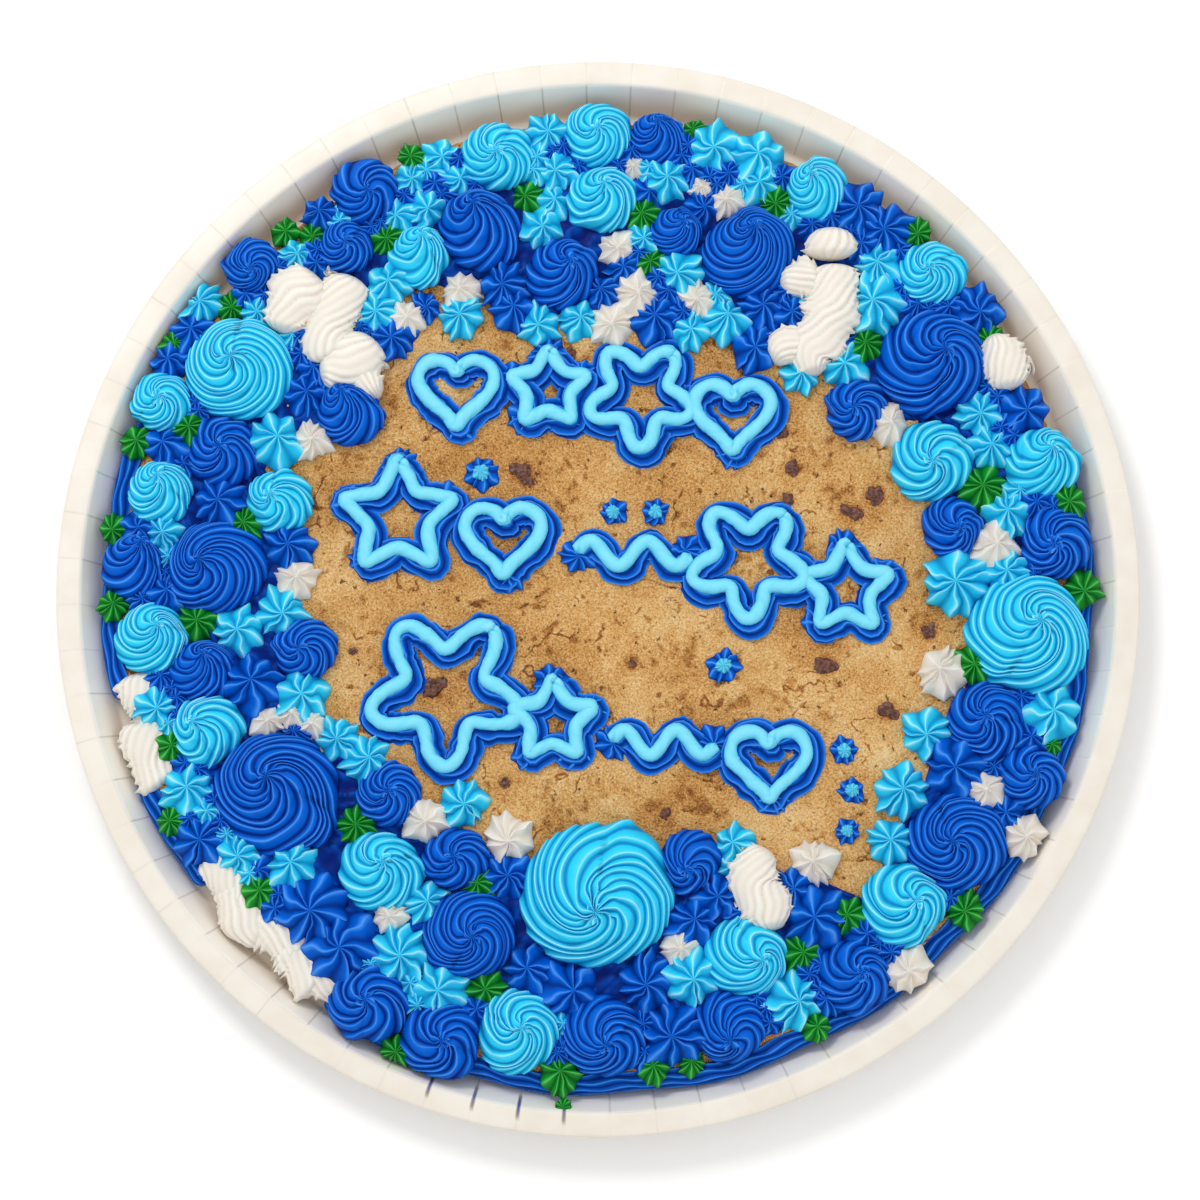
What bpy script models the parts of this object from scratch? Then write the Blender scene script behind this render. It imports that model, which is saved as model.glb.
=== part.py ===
import math
from collections import namedtuple

import bmesh
import bpy
from mathutils import Vector, noise

# A large round cookie in a pleated paperboard tray. A border of piped icing
# covers its edge, and piped hearts, stars, flowers, waves and dots lie on its middle.
# The origin is the middle of the tray's underside and +Z is up.
MM = 0.001

# The tray: one flat pleat for each step round it
TRAY_RADIUS = 216.4 * MM
TRAY_HEIGHT = 20.0 * MM
RIM_WIDTH = 10.0 * MM
RIM_DROP = 0.8 * MM
FLOOR_RADIUS = 201.5 * MM
BOARD = 1.2 * MM
PLEATS = 72

# The cookie
COOKIE_RADIUS = 193.5 * MM
COOKIE_TOP = 14.0 * MM
TOP_RADIUS = 188.0 * MM
COOKIE_STEPS = 48
SHOULDER_DROP = 2.4 * MM
SHOULDER_STEP = 1.2 * MM
FOOT_STEP = 2.5 * MM
SIDE_CRAG = 0.9 * MM
SIDE_CRAG_WIDTH = 16.0 * MM
GAP = 0.3 * MM

# A rope of icing along the cookie's side, between two angles counted from +X
ROPE_REACH = 5.2 * MM
ROPE_WAVE = 1.0 * MM
ROPE_START = math.radians(145)
ROPE_END = math.radians(379)
ROPE_WAVES = 18

# Icing dollops
SWIRL_FOOT = 7.0 * MM
SWIRL_RISE = 0.50
STAR_FOOT = 1.2 * MM
STAR_RISE = 0.95
LARGE_SWIRL = 19.0 * MM
LARGE_STAR = 11.2 * MM
SMALL_STAR = 6.4 * MM
SWIRL_LOBES = 0.14
STAR_LOBES = 0.30
SWIRL_TURN = math.radians(38)
LARGE_SWIRL_TURN = math.radians(76)
SINK = 1.2 * MM
EDGE_SINK = 6.0 * MM
SLOPE_RADIUS = 183.0 * MM
WALL_LIMIT = 203.0 * MM
LEAST_SHARE = 0.42

# A mound's rings from foot to shoulder, each as shares of its radius and of its height
LARGE_SWIRL_RINGS = ((0.93, 0.0), (1.0, 0.26), (0.80, 0.60), (0.42, 0.84))
SWIRL_RINGS = ((0.94, 0.0), (1.0, 0.32), (0.52, 0.80))
SHELL_RINGS = ((1.0, 0.0), (0.74, 0.66))
LARGE_STAR_RINGS = ((1.0, 0.0), (0.70, 0.55))
EDGE_STAR_RINGS = ((1.0, 0.0), (0.62, 0.62))

# Piped lines
LINE_RADIUS = 5.6 * MM
LINE_LIFT = 0.4 * MM
LINE_STEP = 10.5 * MM
WAVE_HEIGHT = 5.0 * MM
WAVE_TURNS = 2
PETALS = 5
PETAL_STEPS = 3
PETAL_DEPTH = 0.32
STAR_CORNERS = 5
STAR_NOTCH = 0.50

# Chocolate pieces
CHIP_SIDES = 5
CHIP_TAPER = 0.6
CHIP_HEIGHT = 0.8

SMOOTH_ANGLE = math.radians(35)

# Each dollop is placed by eye from the photograph: millimetres right of and behind
# the tray's middle, and its radius in millimetres.
ROYAL_SWIRLS = (
    (-94, 163, 14), (-102, 141, 11.5), (-140, 133, 12), (-100, 73, 13.5), (-151, 57, 15),
    (-186, 11, 13), (-152, 10, 20), (-158, -31, 13.5), (-117, -23, 13), (-127, -80, 25.5),
    (-83, -81, 13.5), (-56, -107, 13.5), (-51, -137, 19), (-90, -164, 16), (-62, -178, 16.5),
    (37, -107, 13), (2, -176, 17), (52, -173, 15), (142, -100, 20.5), (172, -74, 13.5),
    (102, -153, 15), (155, -51, 16.5), (142, 27, 13), (183, 20, 15), (24, 185, 11.5),
    (-48, 148, 17), (31, 147, 11), (-15, 130, 15), (60, 138, 19), (135, 93, 22.5),
    (104, 74, 13),
)
SKY_SWIRLS = (
    (-72, 137, 13), (-145, 91, 22), (-175, 77, 13), (-175, 41, 13.5), (-128, 37, 13.5),
    (-178, -18, 15), (-155, -55, 15), (-86, -111, 17), (-1, -120, 30.5), (58, -145, 17),
    (-32, -175, 17), (122, -124, 17.5), (172, -17, 25), (134, 54, 17), (178, 53, 15),
    (-41, 178, 15), (0, 186, 14), (2, 160, 14.5), (88, 164, 13), (134, 130, 14),
)
SKY_STARS = (
    (-122, 137, 7), (-76, 169, 7), (-64, 178, 7), (-57, 168, 7.5), (-70, 157, 8),
    (-84, 126, 9.5), (-56, 113, 8.5), (-160, 118, 8.5), (-137, 114, 7), (-130, 62, 11),
    (-174, 24, 8), (-127, -7, 9.5), (-144, -15, 9), (-118, -41, 11), (-176, -45, 9),
    (-103, -59, 8.5), (-93, -67, 9), (-163, -79, 10), (-142, -104, 9.5), (-121, -109, 11),
    (-54, -84, 9), (-69, -124, 8.5), (-79, -144, 11.5), (-62, -158, 11), (55, -101, 8.5),
    (37, -154, 10.5), (77, -163, 11.5), (121, -79, 11), (116, -99, 9), (181, -49, 10.5),
    (131, -56, 10), (158, 58, 9), (153, 72, 9), (164, 33, 9.5), (144, 3, 13), (164, 9, 9.5),
    (-21, 187, 8), (-16, 172, 8), (46, 181, 10.5), (64, 178, 11), (66, 167, 8.5),
    (28, 168, 9.5), (-19, 159, 7), (-23, 148, 8.5), (33, 130, 9), (-24, 110, 8.5),
    (-8, 111, 8), (37, 107, 7.5), (51, 111, 8.5), (113, 132, 9.5), (112, 118, 12),
    (99, 93, 9), (82, 89, 7),
)
ROYAL_STARS = (
    (-112, 154, 7), (-164, 106, 9), (-173, 94, 8), (-83, 103, 9), (-119, 97, 6.5),
    (-117, 80, 8.5), (-173, 59, 9), (-152, 37, 10), (-124, 19, 9), (-139, -36, 11.5),
    (-158, -99, 10), (-114, -127, 13), (-102, -142, 13), (-36, -114, 9), (47, -121, 10),
    (37, -131, 9.5), (86, -130, 12), (-27, -151, 9.5), (-12, -158, 11), (19, -155, 10.5),
    (31, -176, 13), (142, -70, 12.5), (171, 74, 10.5), (42, 158, 7), (10, 132, 7),
    (-38, 125, 9), (2, 122, 7), (-34, 115, 8.5), (23, 112, 9), (66, 116, 9), (63, 99, 9),
    (79, 114, 8), (105, 156, 10), (117, 147, 9.5), (152, 115, 9.5),
)
WHITE_STARS = (
    (-77, 112, 8), (-55, 123, 7.5), (-115, 62, 8), (-121, 6, 9), (-70, -91, 9),
    (-83, -129, 7), (-36, -98, 9), (32, -141, 7.5), (154, -79, 9), (169, -97, 9),
    (123, -150, 9), (117, 69, 8.5), (158, 19, 10), (137, -32, 10), (14, 173, 6),
    (7, 140, 8), (16, 121, 9.5), (40, 119, 8), (6, 109, 8.5), (42, 165, 6),
    (53, 160, 7.5), (-132, -51, 7), (-122, -48, 7.5), (-114, -52, 6), (86, -108, 9.5),
)
LEAF_STARS = (
    (-126, 147, 5), (-115, 145, 5), (-84, 144, 7), (-75, 178, 5), (-148, 116, 5.5),
    (-170, 101, 5.5), (-164, 67, 7.5), (-185, 61, 6), (-141, 28, 7), (-194, 26, 5.5),
    (-194, -5, 5.5), (-160, -11, 8), (-170, -61, 6), (-169, -91, 5.5), (-96, -93, 7),
    (-134, -119, 7), (-48, -116, 7), (-44, -158, 7), (-80, -183, 6), (80, -144, 7),
    (-15, -192, 7), (22, -189, 6), (37, -187, 5), (86, -173, 5.5), (146, -126, 7),
    (100, -129, 7), (150, -29, 8), (181, -61, 4), (154, 43, 8.5), (189, 37, 7),
    (194, 2, 7), (39, 188, 5), (19, 153, 7), (-28, 161, 6.5), (21, 135, 6), (72, 159, 7),
    (129, 147, 5.5), (158, 103, 5.5), (108, 101, 7),
)
DOTS = (
    (-47, 49, 6), (6, 33, 5), (23, 33, 5), (50, -29, 6), (98, -63, 5), (101, -79, 5),
    (99, -95, 4.5),
)
# A white ruffle is a chain of shells piped into each other
WHITE_RUFFLES = (
    (
        (-127, 124, 8), (-118, 123, 10), (-126, 113, 7), (-103, 122, 10),
        (-106, 113, 8), (-109, 102, 7), (-102, 97, 12), (-94, 90, 9.5),
    ),
    (
        (94, 141, 9.5), (81, 128, 7), (92, 129, 8), (94, 117, 9),
        (90, 104, 9.5), (76, 99, 7), (84, 96, 8),
    ),
    ((66, -107, 7), (63, -115, 9.5), (66, -125, 9.5), (69, -132, 7)),
    ((161, 99, 7), (164, 90, 9)),
)
CHIPS = (
    (-12, 97, 3.5), (-31, 50, 5), (-28, 45, 3.5), (-67, -38, 4.5), (-63, -36, 3),
    (102, 33, 5), (111, 40, 5), (116, -47, 5), (91, -29, 5), (133, -15, 4), (84, -62, 3),
    (14, -28, 3), (-98, -23, 2.5), (74, 66, 3.5), (78, 51, 3.5), (-37, -76, 3),
    (27, -88, 2.5), (76, 38, 3.5), (-36, 77, 3), (26, 59, 3),
)
# Piped shapes: millimetres right and behind, and width in millimetres
HEARTS = ((-57, 83, 31), (54, 73, 31), (-38, 23, 31), (68, -67, 31))
OUTLINE_STARS = ((-20, 83, 34), (-80, 31, 48), (99, 2, 38), (-18, -51, 35))
FLOWERS = ((17, 80, 33), (60, 13, 36), (-61, -39, 47))
WAVES = ((14, 16, 46), (26, -60, 42))

# Colours, as linear red, green and blue
PAPERBOARD = (0.88, 0.84, 0.78)
BAKED = (0.42, 0.21, 0.08)
ROYAL = (0.004, 0.085, 0.62)
SKY = (0.09, 0.52, 0.86)
WHITE = (0.86, 0.84, 0.80)

Dollop = namedtuple("Dollop", "kind x y radius group")


def clear_scene():
    for obj in list(bpy.data.objects):
        bpy.data.objects.remove(obj, do_unlink=True)


def new_collection(name):
    collection = bpy.data.collections.new(name)
    bpy.context.scene.collection.children.link(collection)
    return collection


def material(name, colour, roughness):
    made = bpy.data.materials.new(name)
    made.use_nodes = True
    shader = made.node_tree.nodes["Principled BSDF"]
    shader.inputs["Base Color"].default_value = (*colour, 1.0)
    shader.inputs["Roughness"].default_value = roughness
    shader.inputs["Metallic"].default_value = 0.0
    return made


def shade_round(mesh):
    mesh.shade_smooth()
    mesh.set_sharp_from_angle(angle=SMOOTH_ANGLE)


def mesh_object(name, bm, collection, finish, location):
    mesh = bpy.data.meshes.new(name)
    bm.to_mesh(mesh)
    bm.free()
    mesh.materials.append(finish)
    obj = bpy.data.objects.new(name, mesh)
    obj.location = location
    collection.objects.link(obj)
    return obj


def applied(obj):
    """Swaps the object's mesh for the one that its modifiers make."""
    graph = bpy.context.evaluated_depsgraph_get()
    mesh = bpy.data.meshes.new_from_object(obj.evaluated_get(graph))
    obj.modifiers.clear()
    obj.data = mesh
    return obj


def fused(body, joined):
    """One solid from a body and the loose pieces of a collection."""
    union = body.modifiers.new("Join", "BOOLEAN")
    union.operation = "UNION"
    union.operand_type = "COLLECTION"
    union.collection = joined
    union.solver = "EXACT"
    applied(body)
    for obj in list(joined.objects):
        bpy.data.objects.remove(obj, do_unlink=True)
    bpy.data.collections.remove(joined)
    shade_round(body.data)
    return body


def turned(name, profile, steps, collection, finish):
    """A profile of (radius, height), outer side downwards, turned round Z."""
    bm = bmesh.new()
    points = [bm.verts.new((radius, 0.0, height)) for radius, height in profile]
    for first, second in zip(points, points[1:]):
        bm.edges.new((first, second))
    obj = mesh_object(name, bm, collection, finish, (0.0, 0.0, 0.0))
    screw = obj.modifiers.new("Turn", "SCREW")
    screw.steps = screw.render_steps = steps
    screw.use_merge_vertices = True
    screw.merge_threshold = 0.00005
    return applied(obj)


def make_tray(collection, finish):
    rim_inside = TRAY_RADIUS - RIM_WIDTH
    profile = (
        (0.0, BOARD),
        (FLOOR_RADIUS, BOARD),
        (rim_inside, TRAY_HEIGHT),
        (TRAY_RADIUS, TRAY_HEIGHT - RIM_DROP),
        (TRAY_RADIUS, TRAY_HEIGHT - RIM_DROP - BOARD),
        (rim_inside + BOARD * 0.5, TRAY_HEIGHT - BOARD),
        (FLOOR_RADIUS + BOARD * 0.5, 0.0),
        (0.0, 0.0),
    )
    return turned("tray", profile, PLEATS, collection, finish)


def is_roped(angle):
    """Whether the rope of icing passes the cookie's side at this angle."""
    return any(ROPE_START <= angle + turn <= ROPE_END for turn in (0, 2 * math.pi))


def shape_side(mesh):
    """A craggy side that swells where the rope of icing lies on it."""
    for vertex in mesh.vertices:
        x, y, z = vertex.co
        radius = math.hypot(x, y)
        angle = math.atan2(y, x)
        if radius < TOP_RADIUS + GAP or z < BOARD + 2 * GAP:
            continue
        grown = radius + SIDE_CRAG * noise.noise(vertex.co / SIDE_CRAG_WIDTH)
        if is_roped(angle):
            grown += ROPE_REACH + ROPE_WAVE * math.sin(ROPE_WAVES * angle)
        vertex.co.x = grown * math.cos(angle)
        vertex.co.y = grown * math.sin(angle)


def make_cookie_body(collection, finish):
    foot = BOARD + GAP
    profile = (
        (0.0, COOKIE_TOP),
        (TOP_RADIUS, COOKIE_TOP),
        (COOKIE_RADIUS - SHOULDER_STEP, COOKIE_TOP - SHOULDER_DROP),
        (COOKIE_RADIUS, (COOKIE_TOP + foot) * 0.5),
        (COOKIE_RADIUS - FOOT_STEP, foot),
        (0.0, foot),
    )
    cookie = turned("cookie", profile, COOKIE_STEPS, collection, finish)
    bm = bmesh.new()
    bm.from_mesh(cookie.data)
    for level in (COOKIE_TOP, foot):
        flat = [f for f in bm.faces if all(abs(v.co.z - level) < GAP * 0.1 for v in f.verts)]
        bmesh.ops.dissolve_faces(bm, faces=flat, use_verts=True)
    bm.to_mesh(cookie.data)
    bm.free()
    shape_side(cookie.data)
    return cookie


def cuts_for(dollop, others):
    """Upright planes that keep a dollop off its neighbours and the tray: (across, up, reach)."""
    cuts = []
    for other in others:
        if other is dollop or (dollop.group and other.group == dollop.group):
            continue
        dx, dy = other.x - dollop.x, other.y - dollop.y
        apart = math.hypot(dx, dy)
        if apart > dollop.radius + other.radius + GAP:
            continue
        shared = (apart**2 + dollop.radius**2 - other.radius**2) / (2 * apart)
        least = LEAST_SHARE * dollop.radius
        most = apart - LEAST_SHARE * other.radius
        shared = min(max(shared, least), most) if least < most else apart * 0.5
        cuts.append((dx / apart, dy / apart, shared - GAP * 0.6))
    outward = math.hypot(dollop.x, dollop.y)
    if outward + dollop.radius > WALL_LIMIT:
        cuts.append((dollop.x / outward, dollop.y / outward, WALL_LIMIT - outward))
    return cuts


def outline_point(dollop, angle, turn, points, lobe_depth, cuts):
    """A point of the dollop's lobed outline, moved in until it is inside every cut."""
    lobe = 0.5 - 0.5 * math.cos(points * 0.5 * angle)
    radius = dollop.radius * (1.0 - lobe_depth * lobe)
    x, y = radius * math.cos(angle - turn), radius * math.sin(angle - turn)
    share = 1.0
    for across, up, reach in cuts:
        out = x * across + y * up
        if out > reach:
            share = min(share, reach / out)
    return x * share, y * share


def mound(dollop, cuts, points, height, rings, lobe_depth, turn, sink):
    """A lobed mound: a cone primitive whose rings are moved out, up and round."""
    levels = len(rings)
    bm = bmesh.new()
    bmesh.ops.create_cone(
        bm, cap_ends=True, cap_tris=True, segments=points, radius1=1.0, radius2=0.5, depth=1.0
    )
    upright = [e for e in bm.edges if abs(e.verts[0].co.z - e.verts[1].co.z) > 0.5]
    if levels > 2:
        bmesh.ops.subdivide_edges(bm, edges=upright, cuts=levels - 2, use_grid_fill=True)
    for vertex in bm.verts:
        x, y, z = vertex.co
        if math.hypot(x, y) < 0.01:
            vertex.co = (0.0, 0.0, height if z > 0 else -sink)
            continue
        level = round((z + 0.5) * (levels - 1))
        share, rise = rings[level]
        twist = turn * level / (levels - 1)
        x, y = outline_point(dollop, math.atan2(y, x), twist, points, lobe_depth, cuts)
        vertex.co = (x * share, y * share, rise * height if level else -sink)
    return bm


def pointed_drop(dollop, cuts, points, height, sink):
    """The smallest star: one lobed cone with its foot below the cookie's top."""
    bm = bmesh.new()
    bmesh.ops.create_cone(
        bm, cap_ends=True, cap_tris=False, segments=points, radius1=1.0, radius2=0.0, depth=1.0
    )
    spread = (height + sink) / height
    for vertex in bm.verts:
        x, y, z = vertex.co
        if z > 0:
            vertex.co = (0.0, 0.0, height)
            continue
        x, y = outline_point(dollop, math.atan2(y, x), 0.0, points, STAR_LOBES, cuts)
        vertex.co = (x * spread, y * spread, -sink)
    return bm


def swirl_mesh(dollop, cuts):
    """A rosette: twisted ridges from a broad belly up to a point."""
    height = SWIRL_FOOT + SWIRL_RISE * dollop.radius
    if dollop.radius > LARGE_SWIRL:
        return mound(
            dollop, cuts, 20, height, LARGE_SWIRL_RINGS, SWIRL_LOBES, LARGE_SWIRL_TURN, 0.0
        )
    return mound(dollop, cuts, 12, height, SWIRL_RINGS, SWIRL_LOBES, SWIRL_TURN, 0.0)


def shell_mesh(dollop, cuts):
    height = SWIRL_FOOT + SWIRL_RISE * dollop.radius
    return mound(dollop, cuts, 10, height, SHELL_RINGS, SWIRL_LOBES, 0.0, 0.0)


def star_mesh(dollop, cuts):
    """A small drop star, sunk into the cookie so that the two join."""
    height = STAR_FOOT + STAR_RISE * dollop.radius
    on_edge = math.hypot(dollop.x, dollop.y) + dollop.radius * 0.5 > SLOPE_RADIUS
    sink = EDGE_SINK if on_edge else SINK
    if dollop.radius > LARGE_STAR:
        return mound(dollop, cuts, 10, height, LARGE_STAR_RINGS, STAR_LOBES, 0.0, sink)
    if on_edge:
        return mound(dollop, cuts, 8, height, EDGE_STAR_RINGS, STAR_LOBES, 0.0, sink)
    points = 10 if dollop.radius > SMALL_STAR else 8
    return pointed_drop(dollop, cuts, points, height, sink)


def all_dollops():
    stars = SKY_STARS + ROYAL_STARS + WHITE_STARS + LEAF_STARS + DOTS
    kinds = (("royal_swirl", ROYAL_SWIRLS), ("sky_swirl", SKY_SWIRLS), ("star", stars))
    made = [Dollop(kind, x * MM, y * MM, r * MM, None) for kind, places in kinds for x, y, r in places]
    for number, chain in enumerate(WHITE_RUFFLES, 1):
        made += [Dollop("shell", x * MM, y * MM, r * MM, number) for x, y, r in chain]
    return made


def make_swirls(dollops, kind, collection, finish):
    swirls = [dollop for dollop in dollops if dollop.kind == kind]
    for number, dollop in enumerate(swirls, 1):
        bm = swirl_mesh(dollop, cuts_for(dollop, dollops))
        place = (dollop.x, dollop.y, COOKIE_TOP + GAP)
        swirl = mesh_object(f"{kind}_{number:02d}", bm, collection, finish, place)
        shade_round(swirl.data)


def make_ruffle(number, dollops, collection, finish):
    pieces = new_collection(f"shells_{number}")
    first = None
    for dollop in dollops:
        if dollop.group != number:
            continue
        bm = shell_mesh(dollop, cuts_for(dollop, dollops))
        place = (dollop.x, dollop.y, COOKIE_TOP + GAP)
        home = pieces if first else collection
        shell = mesh_object(f"white_ruffle_{number}", bm, home, finish, place)
        first = first or shell
    return fused(first, pieces)


def piped_line(points, closed, pieces, finish):
    """A round line of icing along points on the cookie's top, made a mesh so that it can be joined."""
    data = bpy.data.curves.new("line", "CURVE")
    data.dimensions = "3D"
    data.bevel_depth = LINE_RADIUS
    data.bevel_resolution = 0
    data.use_fill_caps = True
    spline = data.splines.new("POLY")
    spline.points.add(len(points) - 1)
    spline.use_cyclic_u = closed
    for point, (x, y) in zip(spline.points, points):
        point.co = (x, y, COOKIE_TOP + LINE_LIFT, 1.0)
    curve = bpy.data.objects.new("line", data)
    pieces.objects.link(curve)
    graph = bpy.context.evaluated_depsgraph_get()
    mesh = bpy.data.meshes.new_from_object(curve.evaluated_get(graph))
    mesh.materials.clear()
    mesh.materials.append(finish)
    bm = bmesh.new()
    bm.from_mesh(mesh)
    bmesh.ops.remove_doubles(bm, verts=bm.verts, dist=0.00001)
    bm.to_mesh(mesh)
    bm.free()
    solid = bpy.data.objects.new("line", mesh)
    solid.matrix_world = curve.matrix_world
    pieces.objects.link(solid)
    bpy.data.objects.remove(curve, do_unlink=True)


def sampled(curve, length):
    """Points along a curve given as a function of 0 to 1."""
    count = max(3, round(length / LINE_STEP) + 1)
    return [curve(step / (count - 1)) for step in range(count)]


def heart_half(x, y, width, side):
    """One lobe of a heart, from its notch over the shoulder to its tip."""

    def curve(share):
        angle = math.pi * (0.06 + 0.94 * share)
        across = 16 * math.sin(angle) ** 3
        up = 13 * math.cos(angle) - 5 * math.cos(2 * angle)
        up -= 2 * math.cos(3 * angle) + math.cos(4 * angle)
        return x + side * across * width / 32, y + up * width / 32

    return sampled(curve, width * 1.65)


def star_outline(x, y, width):
    points = []
    for corner in range(2 * STAR_CORNERS):
        reach = width * 0.5 * (STAR_NOTCH if corner % 2 else 1.0)
        angle = math.pi * (0.5 + corner / STAR_CORNERS)
        points.append((x + reach * math.cos(angle), y + reach * math.sin(angle)))
    return points


def flower_outline(x, y, width):
    points = []
    steps = PETALS * PETAL_STEPS
    for step in range(steps):
        angle = 2 * math.pi * step / steps
        reach = width * 0.5 * (1 - PETAL_DEPTH * math.cos(PETALS * angle))
        points.append((x + reach * math.sin(angle), y + reach * math.cos(angle)))
    return points


def wave_line(x, y, width):
    def curve(share):
        up = WAVE_HEIGHT * math.sin(2 * math.pi * WAVE_TURNS * share)
        return x + width * (share - 0.5), y + up

    return sampled(curve, width * 1.5)


def make_piped_shapes(pieces, finish):
    for x, y, width in HEARTS:
        for side in (-1, 1):
            piped_line(heart_half(x * MM, y * MM, width * MM, side), False, pieces, finish)
    for x, y, width in OUTLINE_STARS:
        piped_line(star_outline(x * MM, y * MM, width * MM), True, pieces, finish)
    for x, y, width in FLOWERS:
        piped_line(flower_outline(x * MM, y * MM, width * MM), True, pieces, finish)
    for x, y, width in WAVES:
        piped_line(wave_line(x * MM, y * MM, width * MM), False, pieces, finish)


def make_chips(pieces, finish):
    for x, y, radius in CHIPS:
        size = radius * MM
        bm = bmesh.new()
        bmesh.ops.create_cone(
            bm,
            cap_ends=True,
            segments=CHIP_SIDES,
            radius1=size,
            radius2=size * CHIP_TAPER,
            depth=size * CHIP_HEIGHT,
        )
        mesh_object("chip", bm, pieces, finish, (x * MM, y * MM, COOKIE_TOP))


def make_cookie(dollops, collection, finish):
    body = make_cookie_body(collection, finish)
    pieces = new_collection("cookie_pieces")
    for dollop in dollops:
        if dollop.kind == "star":
            bm = star_mesh(dollop, cuts_for(dollop, dollops))
            mesh_object("star", bm, pieces, finish, (dollop.x, dollop.y, COOKIE_TOP))
    make_piped_shapes(pieces, finish)
    make_chips(pieces, finish)
    return fused(body, pieces)


def main():
    clear_scene()
    parts = new_collection("cookie_cake")
    paperboard = material("coated_paperboard", PAPERBOARD, 0.45)
    baked = material("baked_dough", BAKED, 0.85)
    royal = material("royal_blue_icing", ROYAL, 0.40)
    sky = material("sky_blue_icing", SKY, 0.40)
    white = material("white_icing", WHITE, 0.45)
    dollops = all_dollops()
    make_tray(parts, paperboard)
    make_cookie(dollops, parts, baked)
    make_swirls(dollops, "royal_swirl", parts, royal)
    make_swirls(dollops, "sky_swirl", parts, sky)
    for number in range(1, len(WHITE_RUFFLES) + 1):
        make_ruffle(number, dollops, parts, white)


main()
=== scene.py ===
# Cookie cake in its pleated paperboard tray: the piped icing, the baked cookie and the board, built round
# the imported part. Lengths in the tables are millimetres, x to the right and y to the back of the tray.
import math

import bpy
import numpy as np
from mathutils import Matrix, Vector


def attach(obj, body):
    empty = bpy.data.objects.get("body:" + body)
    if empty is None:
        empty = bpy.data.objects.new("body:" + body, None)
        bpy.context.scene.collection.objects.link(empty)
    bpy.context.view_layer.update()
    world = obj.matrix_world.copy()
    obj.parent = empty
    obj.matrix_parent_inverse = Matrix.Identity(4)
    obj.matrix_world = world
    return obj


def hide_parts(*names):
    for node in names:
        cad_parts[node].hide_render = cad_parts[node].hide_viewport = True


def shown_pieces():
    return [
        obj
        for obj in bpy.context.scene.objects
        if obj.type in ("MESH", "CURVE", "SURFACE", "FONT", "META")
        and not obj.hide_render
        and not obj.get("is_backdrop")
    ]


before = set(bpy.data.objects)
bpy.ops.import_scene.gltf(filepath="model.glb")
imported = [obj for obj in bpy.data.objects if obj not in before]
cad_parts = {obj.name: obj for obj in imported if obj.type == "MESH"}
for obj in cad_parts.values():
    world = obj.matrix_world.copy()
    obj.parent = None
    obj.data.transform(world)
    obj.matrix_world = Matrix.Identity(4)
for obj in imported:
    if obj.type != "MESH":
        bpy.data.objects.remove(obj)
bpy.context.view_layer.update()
mm = 0.001
turn = 2.0 * math.pi
# Where the random draws of each kind of piece begin
seeds = {
    "royal_swirl": 1100, "sky_swirl": 1300, "swirl_peak": 500, "royal_drop_stars": 2100,
    "sky_drop_stars": 2300, "white_drop_stars": 2500, "leaf_drop_stars": 2700, "royal_gap_stars": 5100,
    "sky_gap_stars": 5600,
    "bed": 81, "ruffle": 2900, "ruffle_tips": 6100, "motif": 3100, "wave": 3200, "corner": 3500, "dot": 3300,
    "pale_dot": 3400, "white_side": 3700, "chip": 4100, "crumb": 5900, "tray": 61,
}
print("loaded", len(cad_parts), "solids")


def blend(low, high, x):
    # A smooth step: 3t^2 - 2t^3 of where x lies between low and high
    t = np.clip((x - low) / (high - low), 0.0, 1.0)
    return t * t * (3.0 - 2.0 * t)


def randomField(x, y, seed):
    # Smooth random heights from -1 to 1: each unit square blends the random values at its four corners
    cells = 256
    table = np.random.default_rng(seed).random((cells, cells)) * 2.0 - 1.0
    cellX, cellY = np.floor(x).astype(int), np.floor(y).astype(int)
    partX, partY = blend(0.0, 1.0, x - cellX), blend(0.0, 1.0, y - cellY)
    left, right = cellX % cells, (cellX + 1) % cells
    front, back = [table[left, row % cells] * (1 - partX) + table[right, row % cells] * partX
                   for row in (cellY, cellY + 1)]
    return front * (1 - partY) + back * partY


def turnedField(x, y, size, seed):
    # The random field seen along its own direction, so that no two layers share a grid
    lean = seed * 0.7
    return randomField((x * math.cos(lean) - y * math.sin(lean)) / size + 40,
                       (x * math.sin(lean) + y * math.cos(lean)) / size + 60, seed)


def lengthAlong(points):
    # The length of a line from its start to each of its points
    return np.concatenate([[0.0], np.cumsum(np.linalg.norm(np.diff(points, axis=0), axis=1))])


def evenCurve(points, count):
    # A Catmull-Rom curve through the points, with count places spaced evenly along its length
    p = np.asarray(points, float)
    p = np.vstack([2 * p[0] - p[1], p, 2 * p[-1] - p[-2]])
    t = np.linspace(0.0, 1.0, 24, endpoint=False)[None, :, None]
    a, b, c, d = p[:-3, None], p[1:-2, None], p[2:-1, None], p[3:, None]
    bent = (2 * a - 5 * b + 4 * c - d) * t ** 2 + (3 * b - a - 3 * c + d) * t ** 3
    fine = 0.5 * (2 * b + (c - a) * t + bent)
    fine = np.vstack([fine.reshape(-1, p.shape[1]), p[-2]])
    along = lengthAlong(fine)
    places = np.linspace(0.0, along[-1], count)
    return np.stack([np.interp(places, along, column) for column in fine.T], axis=1)


def profileRows(shares, radius, height, count):
    # A profile at even steps along its length: in millimetres, and as shares of the radius and the height
    profile = evenCurve(np.array(shares) * (radius, height), count + 1)
    rho, level = (profile[1:] / (radius, height)).T[:, :, None]
    return profile, rho, level


def ridgeSteps(across, ridges):
    # Each column's share of its ridge, and the same with the ridge's number added
    within = np.tile(across, ridges)
    return within, np.repeat(np.arange(ridges), len(across)) + within


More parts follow.
